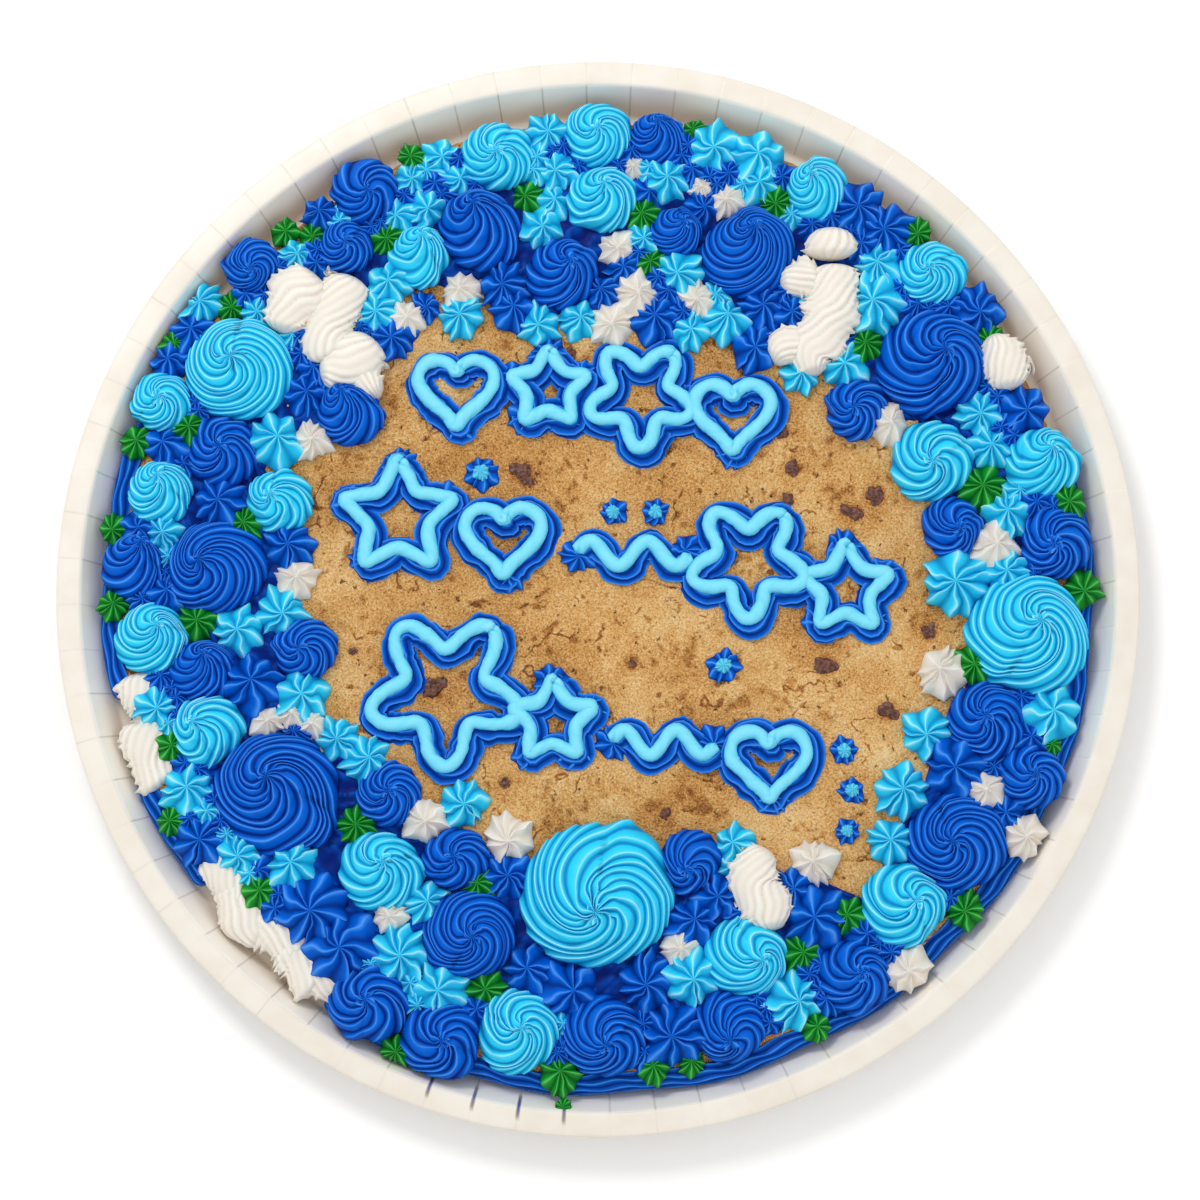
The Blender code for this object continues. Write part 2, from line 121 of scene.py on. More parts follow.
def perRidge(step, values):
    # One value at each crest, with straight lines from crest to crest and from the last to the first
    return np.interp(step, np.arange(len(values) + 1), np.append(values, values[0]))


def crestHighlight(within, width):
    # 1 on a crest, fading beside it as exp(-(distance / width)^1.5): where a painted highlight lies
    return np.exp(-(np.minimum(within, 1.0 - within) / width) ** 1.5)


def polar(x, y, reach, angle, up):
    # Points at a reach and an angle round (x, y), at the height up
    return np.stack(np.broadcast_arrays(x + reach * np.cos(angle), y + reach * np.sin(angle), up), axis=-1)


def closedSkin(rows, top, bottom, tone):
    # A closed skin: rows of points (row, column) that close round, with a point at each end, and a tone for
    # each point
    count, columns = rows.shape[:2]
    index = np.arange(count * columns).reshape(count, columns)
    beside = np.roll(index, -1, axis=1)
    quads = np.stack([index[:-1], index[1:], beside[1:], beside[:-1]], axis=-1).reshape(-1, 4)
    first = np.full(columns, count * columns)
    last = first + 1
    tips = np.vstack([np.stack([first, index[0], beside[0]], axis=1),
                      np.stack([index[-1], last, beside[-1]], axis=1)])
    points = np.vstack([rows.reshape(-1, 3), [top], [bottom]])
    tone = np.broadcast_to(tone, (count, columns))
    tones = np.concatenate([tone.ravel(), [np.mean(tone[0]), np.mean(tone[-1])]])
    return {"points": points, "quads": quads, "tips": tips, "tones": tones}


def ringSkin(rows, tone):
    # A skin that closes both ways, like a ring: rows of points (row, column)
    index = np.arange(tone.size).reshape(tone.shape)
    below = np.roll(index, -1, axis=0)
    quads = np.stack([index, below, np.roll(below, -1, axis=1), np.roll(index, -1, axis=1)], axis=-1)
    return {"points": rows.reshape(-1, 3), "quads": quads.reshape(-1, 4), "tips": np.zeros((0, 3), int),
            "tones": tone.ravel()}


def makePiece(name, skins, material, slot=None, replaced=()):
    # One object from closed skins laid end to end, its points turned from millimetres to metres
    shift = np.cumsum([0] + [len(s["points"]) for s in skins[:-1]])
    points = np.vstack([s["points"] for s in skins]) * mm
    quads = np.vstack([s["quads"] + k for s, k in zip(skins, shift)])
    tips = np.vstack([s["tips"] + k for s, k in zip(skins, shift)])
    mesh = bpy.data.meshes.new(name)
    mesh.vertices.add(len(points))
    mesh.vertices.foreach_set("co", points.astype(np.float32).ravel())
    mesh.loops.add(quads.size + tips.size)
    corners = np.concatenate([quads.ravel(), tips.ravel()])
    mesh.loops.foreach_set("vertex_index", corners.astype(np.int32))
    starts = np.concatenate([np.arange(len(quads)) * 4, quads.size + np.arange(len(tips)) * 3])
    mesh.polygons.add(len(starts))
    mesh.polygons.foreach_set("loop_start", starts.astype(np.int32))
    mesh.polygons.foreach_set("use_smooth", np.ones(len(starts), bool))
    layer = mesh.attributes.new("tone", "FLOAT", "POINT")
    layer.data.foreach_set("value", np.concatenate([s["tones"] for s in skins]).astype(np.float32))
    mesh.update(calc_edges=True)
    mesh.validate()
    mesh.materials.append(material)
    piece = bpy.data.objects.new(name, mesh)
    bpy.context.scene.collection.objects.link(piece)
    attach(piece, "root")
    if replaced:
        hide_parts(*replaced)


def linear(colour):
    # An sRGB colour written as six hex digits, as the linear numbers that the shader takes
    values = np.array([int(colour[k:k + 2], 16) / 255.0 for k in (0, 2, 4)])
    values = np.where(values <= 0.04045, values / 12.92, ((values + 0.055) / 1.055) ** 2.4)
    return (*[float(v) for v in values], 1.0)


def perMetre(size):
    # A texture's scale from the size of its grain in millimetres
    return 1000.0 / size


def addNode(tree, kind, settings=None, links=None):
    # Adds one shader node, sets its sockets or its own settings by name, and links its inputs
    node = tree.nodes.new("ShaderNode" + kind)
    for name, value in (settings or {}).items():
        if isinstance(name, int) or name in node.inputs:
            node.inputs[name].default_value = value
        else:
            setattr(node, name, value)
    for name, socket in (links or {}).items():
        tree.links.new(socket, node.inputs[name])
    return node


def objectPlace(tree):
    return addNode(tree, "TexCoord").outputs["Object"]


def meshTone(tree):
    # The mesh's tone: for icing from painted shade in the valleys, 0, to a painted highlight on the crests,
    # 1
    return addNode(tree, "Attribute", {"attribute_name": "tone"}).outputs["Fac"]


def addNoise(tree, place, size, detail, roughness=0.5):
    settings = {"Scale": perMetre(size), "Detail": detail, "Roughness": roughness}
    return addNode(tree, "TexNoise", settings, {"Vector": place}).outputs["Fac"]


def addRange(tree, value, span, result=(0.0, 1.0)):
    # Turns the values over the span into those over the result, held at both ends
    settings = {"From Min": span[0], "From Max": span[1], "To Min": result[0], "To Max": result[1]}
    return addNode(tree, "MapRange", settings, {"Value": value}).outputs["Result"]


def addMath(tree, operation, *values):
    # One sum of sockets, which are linked, and numbers, which are set
    numbers = {k: value for k, value in enumerate(values) if isinstance(value, float)}
    sockets = {k: value for k, value in enumerate(values) if k not in numbers}
    return addNode(tree, "Math", {"operation": operation, **numbers}, sockets).outputs["Value"]


def addBump(tree, height, look, below=None, invert=False):
    # A bump from its strength and its height in metres, on top of the bump below it
    settings = {"Strength": look[0], "Distance": look[1], "invert": invert}
    links = {"Height": height, "Normal": below} if below else {"Height": height}
    return addNode(tree, "Bump", settings, links).outputs["Normal"]


def addRamp(tree, source, stops):
    # A colour ramp from (position, hex colour) pairs
    node = addNode(tree, "ValToRGB", None, {"Fac": source})
    elements = node.color_ramp.elements
    for element, (place, colour) in zip(elements, (stops[0], stops[-1])):
        element.position = place
        element.color = linear(colour)
    for place, colour in stops[1:-1]:
        elements.new(place).color = linear(colour)
    return node.outputs["Color"]


def newMaterial(name):
    material = bpy.data.materials.new(name)
    material.use_nodes = True
    material.node_tree.nodes.clear()
    return material, material.node_tree


def finishMaterial(tree, settings, links=None):
    shader = addNode(tree, "BsdfPrincipled", settings, links)
    addNode(tree, "OutputMaterial", None, {"Surface": shader.outputs["BSDF"]})


# The materials. A bump is its strength and its height in metres.

# Icing colours: shadedValley is painted shade in the folds, middle the faces' colour, crest a painted
# highlight
icingLook = {
    "royal": {"name": "buttercream_royal_blue", "slot": "icing_royal_blue", "shadedValley": "001668",
              "middle": "005CCA", "crest": "4E9CF2", "mottle": 0.12, "soft": 0.0, "gloss": 0.06},
    "sky": {"name": "buttercream_sky_blue", "slot": "icing_sky_blue", "shadedValley": "0078B8",
            "middle": "2ACCF2", "crest": "B0F4FF", "mottle": 0.08, "soft": 0.05, "gloss": 0.08},
    "leaf": {"name": "buttercream_leaf_green", "slot": "icing_leaf_green", "shadedValley": "003E10",
             "middle": "0A8A24", "crest": "66C868", "mottle": 0.14, "soft": 0.0, "gloss": 0.12},
    "white": {"name": "buttercream_white", "slot": "icing_white", "shadedValley": "D8CEBF",
              "middle": "E4DDD1", "crest": "EEEAE1", "mottle": 0.02, "soft": 0.10, "gloss": 0.15},
    "line": {"name": "buttercream_pale_blue_line", "slot": "icing_sky_blue", "shadedValley": "1C9FCC",
             "middle": "55C8E8", "crest": "86DCF2", "mottle": 0.06, "soft": 0.05, "gloss": 0.15},
}
icingGrain = {
    "mottleSize": 5.0, "dimpleSize": 2.0, "fineSize": 0.5, "dimpleBump": (0.30, 0.0003),
    "fineBump": (0.20, 0.00006), "roughness": (0.30, 0.48), "lightDepth": 0.0015,
}


def makeIcing(look):
    # Buttercream icing: whipped fat and sugar pressed through a star nozzle. Its skin is dense and slightly
    # greasy, so it has a broad satin sheen. Its colour ramp, driven by the mesh's tone, paints shade in the
    # folds and a thin highlight on the crests.
    material, tree = newMaterial(look["name"])
    place = objectPlace(tree)
    stops = ((0.0, look["shadedValley"]), (0.5, look["middle"]), (1.0, look["crest"]))
    ramp = addRamp(tree, meshTone(tree), stops)
    mottle = addNoise(tree, place, icingGrain["mottleSize"], 3.0)
    shade = addRange(tree, mottle, (0.0, 1.0), (1.0 - look["mottle"], 1.0 + look["mottle"]))
    colour = addNode(tree, "HueSaturation", None, {"Color": ramp, "Value": shade})
    dimple = addNoise(tree, place, icingGrain["dimpleSize"], 2.0)
    fine = addNoise(tree, place, icingGrain["fineSize"], 2.0)
    broad = addBump(tree, dimple, icingGrain["dimpleBump"])
    settings = {"IOR": 1.45, "Specular IOR Level": look["gloss"], "Subsurface Weight": look["soft"],
                "Subsurface Scale": icingGrain["lightDepth"]}
    finishMaterial(tree, settings, {
        "Base Color": colour.outputs["Color"], "Normal": addBump(tree, fine, icingGrain["fineBump"], broad),
        "Roughness": addRange(tree, dimple, (0.0, 1.0), icingGrain["roughness"])})
    return material


bakeLook = {
    "stops": ((0.08, "5E3315"), (0.36, "995F24"), (0.56, "C78D48"), (0.74, "E0AE68"), (0.92, "F0CE96")),
    "patchSize": 9.0, "grainSize": 0.9, "sugarSize": 0.7, "pitSize": 3.2, "crackSize": 24.0,
    "shares": {"grain": 1.50, "patch": 0.45, "sugar": -0.30, "pits": -0.55, "cracks": -0.50},
    "pitSpan": (0.655, 0.72), "crackSpan": (0.017, 0.005), "crackPlaces": (0.53, 0.60),
    "toneSpan": (0.42, 1.60), "grainBump": (1.0, 0.0009), "sugarBump": (0.6, 0.0004),
    "pitBump": (0.9, 0.0012), "roughness": 0.78,
}


def makeBaked():
    # Baked cookie dough: sugar and flour set into a dry, open crumb. The top is golden brown with a sandy
    # grain and painted shade in its pits and cracks, and it scatters light with hardly any gloss. A crack
    # runs where a broad noise passes its middle value.
    look = bakeLook
    material, tree = newMaterial("baked_cookie")
    place = objectPlace(tree)
    sugar = addNode(tree, "TexVoronoi", {"Scale": perMetre(look["sugarSize"])}, {"Vector": place})
    layers = {"grain": addNoise(tree, place, look["grainSize"], 4.0, 0.7),
              "patch": addNoise(tree, place, look["patchSize"], 3.0),
              "sugar": sugar.outputs["Distance"],
              "pits": addRange(tree, addNoise(tree, place, look["pitSize"], 5.0, 0.6), look["pitSpan"])}
    thread = addMath(tree, "SUBTRACT", addNoise(tree, place, look["crackSize"], 3.0, 0.55), 0.5)
    thread = addRange(tree, addMath(tree, "ABSOLUTE", thread), look["crackSpan"])
    where = addRange(tree, layers["patch"], look["crackPlaces"])
    layers["cracks"] = addMath(tree, "MULTIPLY", thread, where)
    # The mesh's tone, then grain, patches and sugar, and painted shade in the pits and cracks
    mixed = meshTone(tree)
    for name, share in look["shares"].items():
        mixed = addMath(tree, "MULTIPLY_ADD", layers[name], share, mixed)
    normal = addBump(tree, layers["grain"], look["grainBump"])
    normal = addBump(tree, layers["sugar"], look["sugarBump"], normal, True)
    normal = addBump(tree, layers["pits"], look["pitBump"], normal, True)
    colour = addRamp(tree, addRange(tree, mixed, look["toneSpan"]), look["stops"])
    finishMaterial(tree, {"Roughness": look["roughness"], "IOR": 1.45},
                   {"Base Color": colour, "Normal": normal})
    return material


chocolateLook = {
    "stops": ((0.38, "38190F"), (0.68, "7E4A36")), "cloudSize": 1.4, "cloudBump": (0.6, 0.0004),
    "roughness": 0.42,
}


def makeChocolate():
    # Baked chocolate chips: melted and set again, dark brown with a dull bloom and a soft waxy shine
    look = chocolateLook
    material, tree = newMaterial("dark_chocolate")
    cloud = addNoise(tree, objectPlace(tree), look["cloudSize"], 4.0)
    colour = addRamp(tree, cloud, look["stops"])
    finishMaterial(tree, {"Roughness": look["roughness"], "IOR": 1.47},
                   {"Base Color": colour, "Normal": addBump(tree, cloud, look["cloudBump"])})
    return material


boardLook = {
    "stops": ((0.35, "E2DACC"), (0.62, "E7E0D5")), "cloudSize": 14.0, "fibreSize": 0.8,
    "fibreBump": (0.15, 0.0001), "roughness": 0.42,
    "marks": (("FBF5E9", (-0.2, -0.9)), ("A39684", (0.0, 1.0)), ("2448A0", (1.0, 2.0))),
}


def makeBoard():
    # Pressed paperboard: bleached wood fibre with a clay coat, pleated and pressed into shape. The coat
    # gives a low satin sheen, and faint fibre clouds keep the white from being even. The tone is 0 to -1 for
    # the inner wall, painted lighter as painted light there, 0 to 1 for the folds' dark lines, a dark joint
    # with painted shade in the crease, and 1 to 2 for dye that ran into them.
    look = boardLook
    material, tree = newMaterial("pleated_paperboard")
    place = objectPlace(tree)
    tone = meshTone(tree)
    colour = addRamp(tree, addNoise(tree, place, look["cloudSize"], 4.0), look["stops"])
    for mark, span in look["marks"]:
        colour = addNode(tree, "Mix", {"data_type": "RGBA", 7: linear(mark)},
                         {0: addRange(tree, tone, span), 6: colour}).outputs[2]
    fibre = addNoise(tree, place, look["fibreSize"], 3.0)
    finishMaterial(tree, {"Roughness": look["roughness"], "IOR": 1.5}, {
        "Base Color": colour, "Normal": addBump(tree, fibre, look["fibreBump"])})
    return material


# Each icing's material, with its slot's name
icing = {key: (makeIcing(look), look["slot"]) for key, look in icingLook.items()}
bakedCookie = makeBaked()
darkChocolate = makeChocolate()
paperboard = makeBoard()
print("materials ready")


# Where the icing is: x, y and radius of every mound, which the solids have too

royalSwirls = (
    (-94, 163, 14), (-102, 141, 11.5), (-140, 133, 12), (-100, 73, 13.5), (-151, 57, 15), (-186, 11, 13),
    (-152, 10, 20), (-158, -31, 13.5), (-117, -23, 13), (-127, -80, 25.5), (-83, -81, 13.5),
    (-56, -107, 13.5), (-51, -137, 19), (-90, -164, 16), (-62, -178, 16.5), (37, -107, 13), (2, -176, 17),
    (52, -173, 15), (142, -100, 20.5), (172, -74, 13.5), (102, -153, 15), (155, -51, 16.5), (142, 27, 13),
    (183, 20, 15), (24, 185, 11.5), (-48, 148, 17), (31, 147, 11), (-15, 130, 15), (60, 138, 19),
    (135, 93, 22.5), (104, 74, 13))
skySwirls = (
    (-72, 137, 13), (-145, 91, 22), (-175, 77, 13), (-175, 41, 13.5), (-128, 37, 13.5), (-178, -18, 15),
    (-155, -55, 15), (-86, -111, 17), (-1, -120, 30.5), (58, -145, 17), (-32, -175, 17),
    (122, -124, 17.5), (172, -17, 25), (134, 54, 17), (178, 53, 15), (-41, 178, 15), (0, 186, 14),
    (2, 160, 14.5), (88, 164, 13), (134, 130, 14))
skyStars = (
    (-122, 137, 7), (-76, 169, 7), (-64, 178, 7), (-57, 168, 7.5), (-70, 157, 8), (-84, 126, 9.5),
    (-56, 113, 8.5), (-160, 118, 8.5), (-137, 114, 7), (-130, 62, 11), (-174, 24, 8), (-127, -7, 9.5),
    (-144, -15, 9), (-118, -41, 11), (-176, -45, 9), (-103, -59, 8.5), (-93, -67, 9), (-163, -79, 10),
    (-142, -104, 9.5), (-121, -109, 11), (-54, -84, 9), (-69, -124, 8.5), (-79, -144, 11.5),
    (-62, -158, 11), (55, -101, 8.5), (37, -154, 10.5), (77, -163, 11.5), (121, -79, 11), (116, -99, 9),
    (181, -49, 10.5), (131, -56, 10), (158, 58, 9), (153, 72, 9), (164, 33, 9.5), (144, 3, 13),
    (164, 9, 9.5), (-21, 187, 8), (-16, 172, 8), (46, 181, 10.5), (64, 178, 11), (66, 167, 8.5),
    (28, 168, 9.5), (-19, 159, 7), (-23, 148, 8.5), (33, 130, 9), (-24, 110, 8.5), (-8, 111, 8),
    (37, 107, 7.5), (51, 111, 8.5), (113, 132, 9.5), (112, 118, 12), (99, 93, 9), (82, 89, 7))
royalStars = (
    (-112, 154, 7), (-164, 106, 9), (-173, 94, 8), (-83, 103, 9), (-119, 97, 6.5), (-117, 80, 8.5),
    (-173, 59, 9), (-152, 37, 10), (-124, 19, 9), (-139, -36, 11.5), (-158, -99, 10), (-114, -127, 13),
    (-102, -142, 13), (-36, -114, 9), (47, -121, 10), (37, -131, 9.5), (86, -130, 12), (-27, -151, 9.5),
    (-12, -158, 11), (19, -155, 10.5), (31, -176, 13), (142, -70, 12.5), (171, 74, 10.5), (42, 158, 7),
    (10, 132, 7), (-38, 125, 9), (2, 122, 7), (-34, 115, 8.5), (23, 112, 9), (66, 116, 9), (63, 99, 9),
    (79, 114, 8), (105, 156, 10), (117, 147, 9.5), (152, 115, 9.5))
whiteStars = (
    (-77, 112, 8), (-55, 123, 7.5), (-115, 62, 8), (-121, 6, 9), (-70, -91, 9), (-83, -129, 7),
    (-36, -98, 9), (32, -141, 7.5), (154, -79, 9), (169, -97, 9), (123, -150, 9), (117, 69, 8.5),
    (158, 19, 10), (137, -32, 10), (14, 173, 6), (7, 140, 8), (16, 121, 9.5), (40, 119, 8), (6, 109, 8.5),
    (42, 165, 6), (53, 160, 7.5), (-132, -51, 7), (-122, -48, 7.5), (-114, -52, 6), (86, -108, 9.5))
leafStars = (
    (-126, 147, 5), (-115, 145, 5), (-84, 144, 7), (-75, 178, 5), (-148, 116, 5.5), (-170, 101, 5.5),
    (-164, 67, 7.5), (-185, 61, 6), (-141, 28, 7), (-194, 26, 5.5), (-194, -5, 5.5), (-160, -11, 8),
    (-170, -61, 6), (-169, -91, 5.5), (-96, -93, 7), (-134, -119, 7), (-48, -116, 7), (-44, -158, 7),
    (-80, -183, 6), (80, -144, 7), (-15, -192, 7), (22, -189, 6), (37, -187, 5), (86, -173, 5.5),
    (146, -126, 7), (100, -129, 7), (150, -29, 8), (181, -61, 4), (154, 43, 8.5), (189, 37, 7),
    (194, 2, 7), (39, 188, 5), (19, 153, 7), (-28, 161, 6.5), (21, 135, 6), (72, 159, 7), (129, 147, 5.5),
    (158, 103, 5.5), (108, 101, 7))
whiteRuffles = (
    ((-127, 124, 8), (-118, 123, 10), (-126, 113, 7), (-103, 122, 10), (-106, 113, 8), (-109, 102, 7),
     (-102, 97, 12), (-94, 90, 9.5)),
    ((94, 141, 9.5), (81, 128, 7), (92, 129, 8), (94, 117, 9), (90, 104, 9.5), (76, 99, 7), (84, 96, 8)),
    ((66, -107, 7), (63, -115, 9.5), (66, -125, 9.5), (69, -132, 7)),
    ((161, 99, 7), (164, 90, 9)))
dots = ((-47, 49, 6), (6, 33, 5), (23, 33, 5), (50, -29, 6), (98, -63, 5), (101, -79, 5), (99, -95, 4.5))
chips = (
    (-12, 97, 3.5), (-31, 50, 5), (-28, 45, 3.5), (-67, -38, 4.5), (-63, -36, 3), (102, 33, 5),
    (111, 40, 5), (116, -47, 5), (91, -29, 5), (133, -15, 4), (84, -62, 3), (14, -28, 3), (-98, -23, 2.5),
    (74, 66, 3.5), (78, 51, 3.5), (-37, -76, 3), (27, -88, 2.5), (76, 38, 3.5), (-36, 77, 3), (26, 59, 3))

wallRadius = 203.5
cookieTop = 14.0
allShells = [s for chain in whiteRuffles for s in chain]
onTop = list(royalSwirls + skySwirls + skyStars + royalStars + whiteStars + leafStars) + allShells


# Piped mounds: the rosettes and the drop stars


def roomAround(place, others, overlap):
    # The lines that a mound keeps behind, each a direction and a reach: the tray's wall, and for each
    # neighbour that it meets the line through both circles' crossings
    x, y, radius = place
    lines = []
    for otherX, otherY, otherRadius in others:
        apart = math.hypot(otherX - x, otherY - y)
        if apart < 0.1 or apart > radius + otherRadius + 1.0:
            continue
        shared = (apart ** 2 + radius ** 2 - otherRadius ** 2) / (2.0 * apart)
        shared = max(shared, 0.5 * radius)
        lines.append((math.atan2(otherY - y, otherX - x), shared + overlap))
    outward = math.hypot(x, y)
    if outward + radius > wallRadius:
        lines.append((math.atan2(y, x), wallRadius - outward))
    return lines


def squeezed(radius, angle, lines, softness):
    # The smaller of the free radius and the distance to each line along this angle, blended softly
    total = np.exp(-radius / softness)
    for direction, reach in lines:
        facing = np.cos(angle - direction)
        away = np.where(facing > 0.05, reach / np.maximum(facing, 0.05), 1000.0)
        total = total + np.exp(-away / softness)
    return -softness * np.log(total)


swirlShape = {
    "profile": ((0.0, 1.0), (0.045, 0.985), (0.10, 0.945), (0.17, 0.885), (0.24, 0.835), (0.36, 0.79),
                (0.50, 0.745), (0.66, 0.675), (0.80, 0.575), (0.905, 0.45), (0.975, 0.30), (1.0, 0.16),
                (0.985, 0.04), (0.94, -0.03)),
    "across": (0.0, 0.022, 0.09, 0.22, 0.37, 0.52, 0.66, 0.78, 0.88, 0.965),
    "foot": 7.0, "rise": 0.47, "base": 14.2, "rows": 36, "ridgeCounts": (11, 13), "largeRadius": 18.0,
    "largeRows": 57, "largeTwist": 1.4, "largeRidges": 14, "largestRadius": 28.0, "largestRidges": 16,
    "twist": 2.0, "twistBend": 1.5, "uneven": ((0.15, 2), (0.09, 3), (0.06, 5)), "ridgeShare": 0.52,
    "skew": 2.3, "crestHighlight": 0.042, "ledge": 0.10, "coil": 0.14, "lean": 0.24, "nubReach": 0.30,
    "nubDepth": 0.075, "tipSize": 2.9, "tipRise": 2.3, "overlap": 0.9, "softness": 0.9,
}
# Where a rosette's peak leans, x and y, by its number
swirlLeans = {
    "royal_swirl": {4: (-3, 8), 5: (0, 1), 6: (4, 9), 7: (-7, 2), 8: (1, 6), 9: (-2, 0), 10: (-4, 5.5),
                    11: (0, 1), 12: (-1, 1), 13: (1.4, -1.6), 15: (0.6, -1), 16: (-2, -5), 17: (1, -4.7),
                    18: (0, -6), 21: (2, 1), 25: (0, 6), 26: (-2, 9), 27: (4, 3), 28: (4, 3.4), 29: (3, 9),
                    30: (4, 3.6)},
    "sky_swirl": {1: (1.6, 7), 2: (-2, 3), 4: (-1, 6), 5: (-3, 1.5), 6: (3, 4.5), 7: (-6, 2.4), 8: (1, 3),
                  9: (0, -9), 10: (7, -2.4), 11: (2, 1), 15: (3.5, 4.5), 16: (0, 0), 17: (0, 2),
                  18: (0.6, 5), 19: (-2.4, 5.4), 20: (-1, 0.5)},
}


def addedWaves(angle, phases, waves):
    # A sum of sines, each with its share and its number of waves in a turn
    return sum(share * np.sin(count * angle + phase) for (share, count), phase in zip(waves, phases))


def swirlSkin(place, lines, seed, lean=None):
    # A rosette: a domed profile turned round. Its sharp ridges, 1 - sin^0.85 across, follow angle = start -
    # twist times radius to a power, with a spiral ledge where the coil lies on itself, and a leaning peak.
    x, y, radius = place
    shape = swirlShape
    chance = np.random.default_rng(seed)
    height = shape["foot"] + shape["rise"] * radius
    large = radius > shape["largeRadius"]
    ridges = int(chance.integers(*shape["ridgeCounts"], endpoint=True))
    if large:
        ridges = shape["largestRidges"] if radius > shape["largestRadius"] else shape["largeRidges"]
    rows = shape["largeRows" if large else "rows"]
    profile, rho, level = profileRows(shape["profile"], radius, height, rows)
    slope = np.gradient(profile, axis=0)[1:]
    slope = slope / np.linalg.norm(slope, axis=1)[:, None]
    sideways, upward = -slope[:, 1:], slope[:, :1]

    within, step = ridgeSteps(shape["across"], ridges)
    start = step / ridges * turn
    waves = chance.uniform(0, turn, 12)
    twist = (shape["twist"] + chance.uniform(-0.4, 0.5)) * (shape["largeTwist"] if large else 1.0)
    bend = shape["twistBend"] + chance.uniform(-0.2, 0.3)
    nub = np.sin(math.pi * np.clip(rho / shape["nubReach"], 0.0, 1.0))
    wander = 0.05 * np.sin(4.0 * rho * math.pi + 2 * start + waves[3])
    tangle = 0.22 * np.sin(3 * start + 9 * rho + waves[8]) + 0.12 * np.sin(7 * start + waves[9])
    uneven = addedWaves(start, waves, shape["uneven"])
    angle = chance.uniform(0, turn) + start + uneven - twist * rho ** bend + (wander + nub * tangle)

    share = np.mod((angle - waves[4]) / turn, 1.0)
    coil = share - blend(0.95, 1.0, share) - 0.5
    outline = 1.0 + 0.035 * np.cos(2 * angle + waves[5]) + 0.02 * np.cos(3 * angle + waves[6])
    outline = outline * (1.0 + shape["coil"] * coil * blend(0.25, 0.8, rho))
    free = radius * outline
    edge = free + (squeezed(free, angle, lines, shape["softness"]) - free) * blend(0.35, 0.95, rho)
    distance = edge * rho

    ledgeAt = 0.86 - 0.46 * share
    ledge = blend(-0.035, 0.035, ledgeAt - rho) * blend(0.02, 0.2, ledgeAt - 0.25) - 0.5
    strength = perRidge(step, chance.uniform(0.45, 1.25, ridges))
    fold = perRidge(step, chance.uniform(0.2, 1.5, ridges))
    crest = 1.0 - np.sin(math.pi * within ** shape["skew"]) ** 0.85
    across = turn * distance / ridges
    lead = np.arctan(rho ** bend * twist * bend)
    depth = np.minimum(shape["ridgeShare"] * across * np.cos(lead), 0.15 * radius) * strength
    depth = np.maximum(depth * (1.0 - 0.35 * blend(0.9, 1.0, rho) * (level < 0.3)),
                       shape["nubDepth"] * radius * nub * fold)
    push = depth * (crest - 0.62)
    up = height * level + push * upward + shape["ledge"] * height * ledge * blend(0.05, 0.25, level)

    leanBy = shape["lean"] * radius * chance.uniform(0.3, 1.0)
    leanX, leanY = lean or (leanBy * math.cos(waves[7]), leanBy * math.sin(waves[7]))
    drift = np.clip(1.0 - rho, 0.0, 1.0) ** 1.1
    out = distance + push * sideways
    points = polar(x + leanX * drift, y + leanY * drift, out, angle, shape["base"] + up)
    # The tone paints a thin highlight along each crest, shade in the valleys and shade towards the foot
    line = crestHighlight(within, shape["crestHighlight"])
    tone = 0.05 + 0.40 * blend(0.0, 0.36, crest) + 0.08 * crest + 0.44 * line * np.minimum(strength, 1.0)
    tone = tone * (0.42 + 0.58 * blend(-0.05, 0.62, level))
    tip = (x + leanX, y + leanY, shape["base"] + height)
    foot = (x, y, shape["base"] - 0.03 * height)
    nub = starSkin((tip[0], tip[1], shape["tipSize"] + 0.03 * radius), "nub", [], seed + seeds["swirl_peak"],
                   tip[2] - 0.75 * shape["tipRise"], shape["tipRise"])
    return [closedSkin(points, tip, foot, tone), nub]


starShape = {
    "profile": ((0.0, 1.0), (0.06, 0.95), (0.15, 0.875), (0.30, 0.785), (0.48, 0.69), (0.66, 0.58),
                (0.82, 0.44), (0.94, 0.27), (1.0, 0.10), (0.985, -0.02), (0.90, -0.08)),
    "across": (0.0, 0.03, 0.14, 0.30, 0.44, 0.50, 0.56, 0.70, 0.86, 0.97), "rows": (9, 15), "rowsPerMm": 1.5,
    "foot": 1.2, "rise": 0.95, "crestHighlight": 0.045, "softness": 0.4,
}
starKinds = {
    "sky": {"grow": 1.20, "lobes": (7, 9), "depth": 0.18, "round": 1.5, "sag": 0.17, "twist": 0.35,
            "uneven": 0.17, "zigzag": 0.32},
    "royal": {"grow": 1.20, "lobes": (7, 9), "depth": 0.18, "round": 1.5, "sag": 0.15, "twist": 0.35,
              "uneven": 0.17, "zigzag": 0.28},
    "leaf": {"grow": 1.24, "lobes": (8, 10), "depth": 0.15, "round": 1.2, "sag": 0.12, "twist": 0.15,
             "uneven": 0.16, "zigzag": 0.15},
    "white": {"grow": 1.14, "lobes": (8, 10), "depth": 0.17, "round": 1.1, "sag": 0.10, "twist": 0.35,
              "uneven": 0.20, "zigzag": 0.30},
    "shell": {"grow": 1.06, "lobes": (8, 10), "depth": 0.11, "round": 1.5, "sag": 0.06, "twist": 0.30,
              "uneven": 0.14, "zigzag": 0.3},
    "nub": {"grow": 1.0, "lobes": (5, 7), "depth": 0.24, "round": 1.2, "sag": 0.30, "twist": 1.3,
            "uneven": 0.32, "zigzag": 0.6},
}


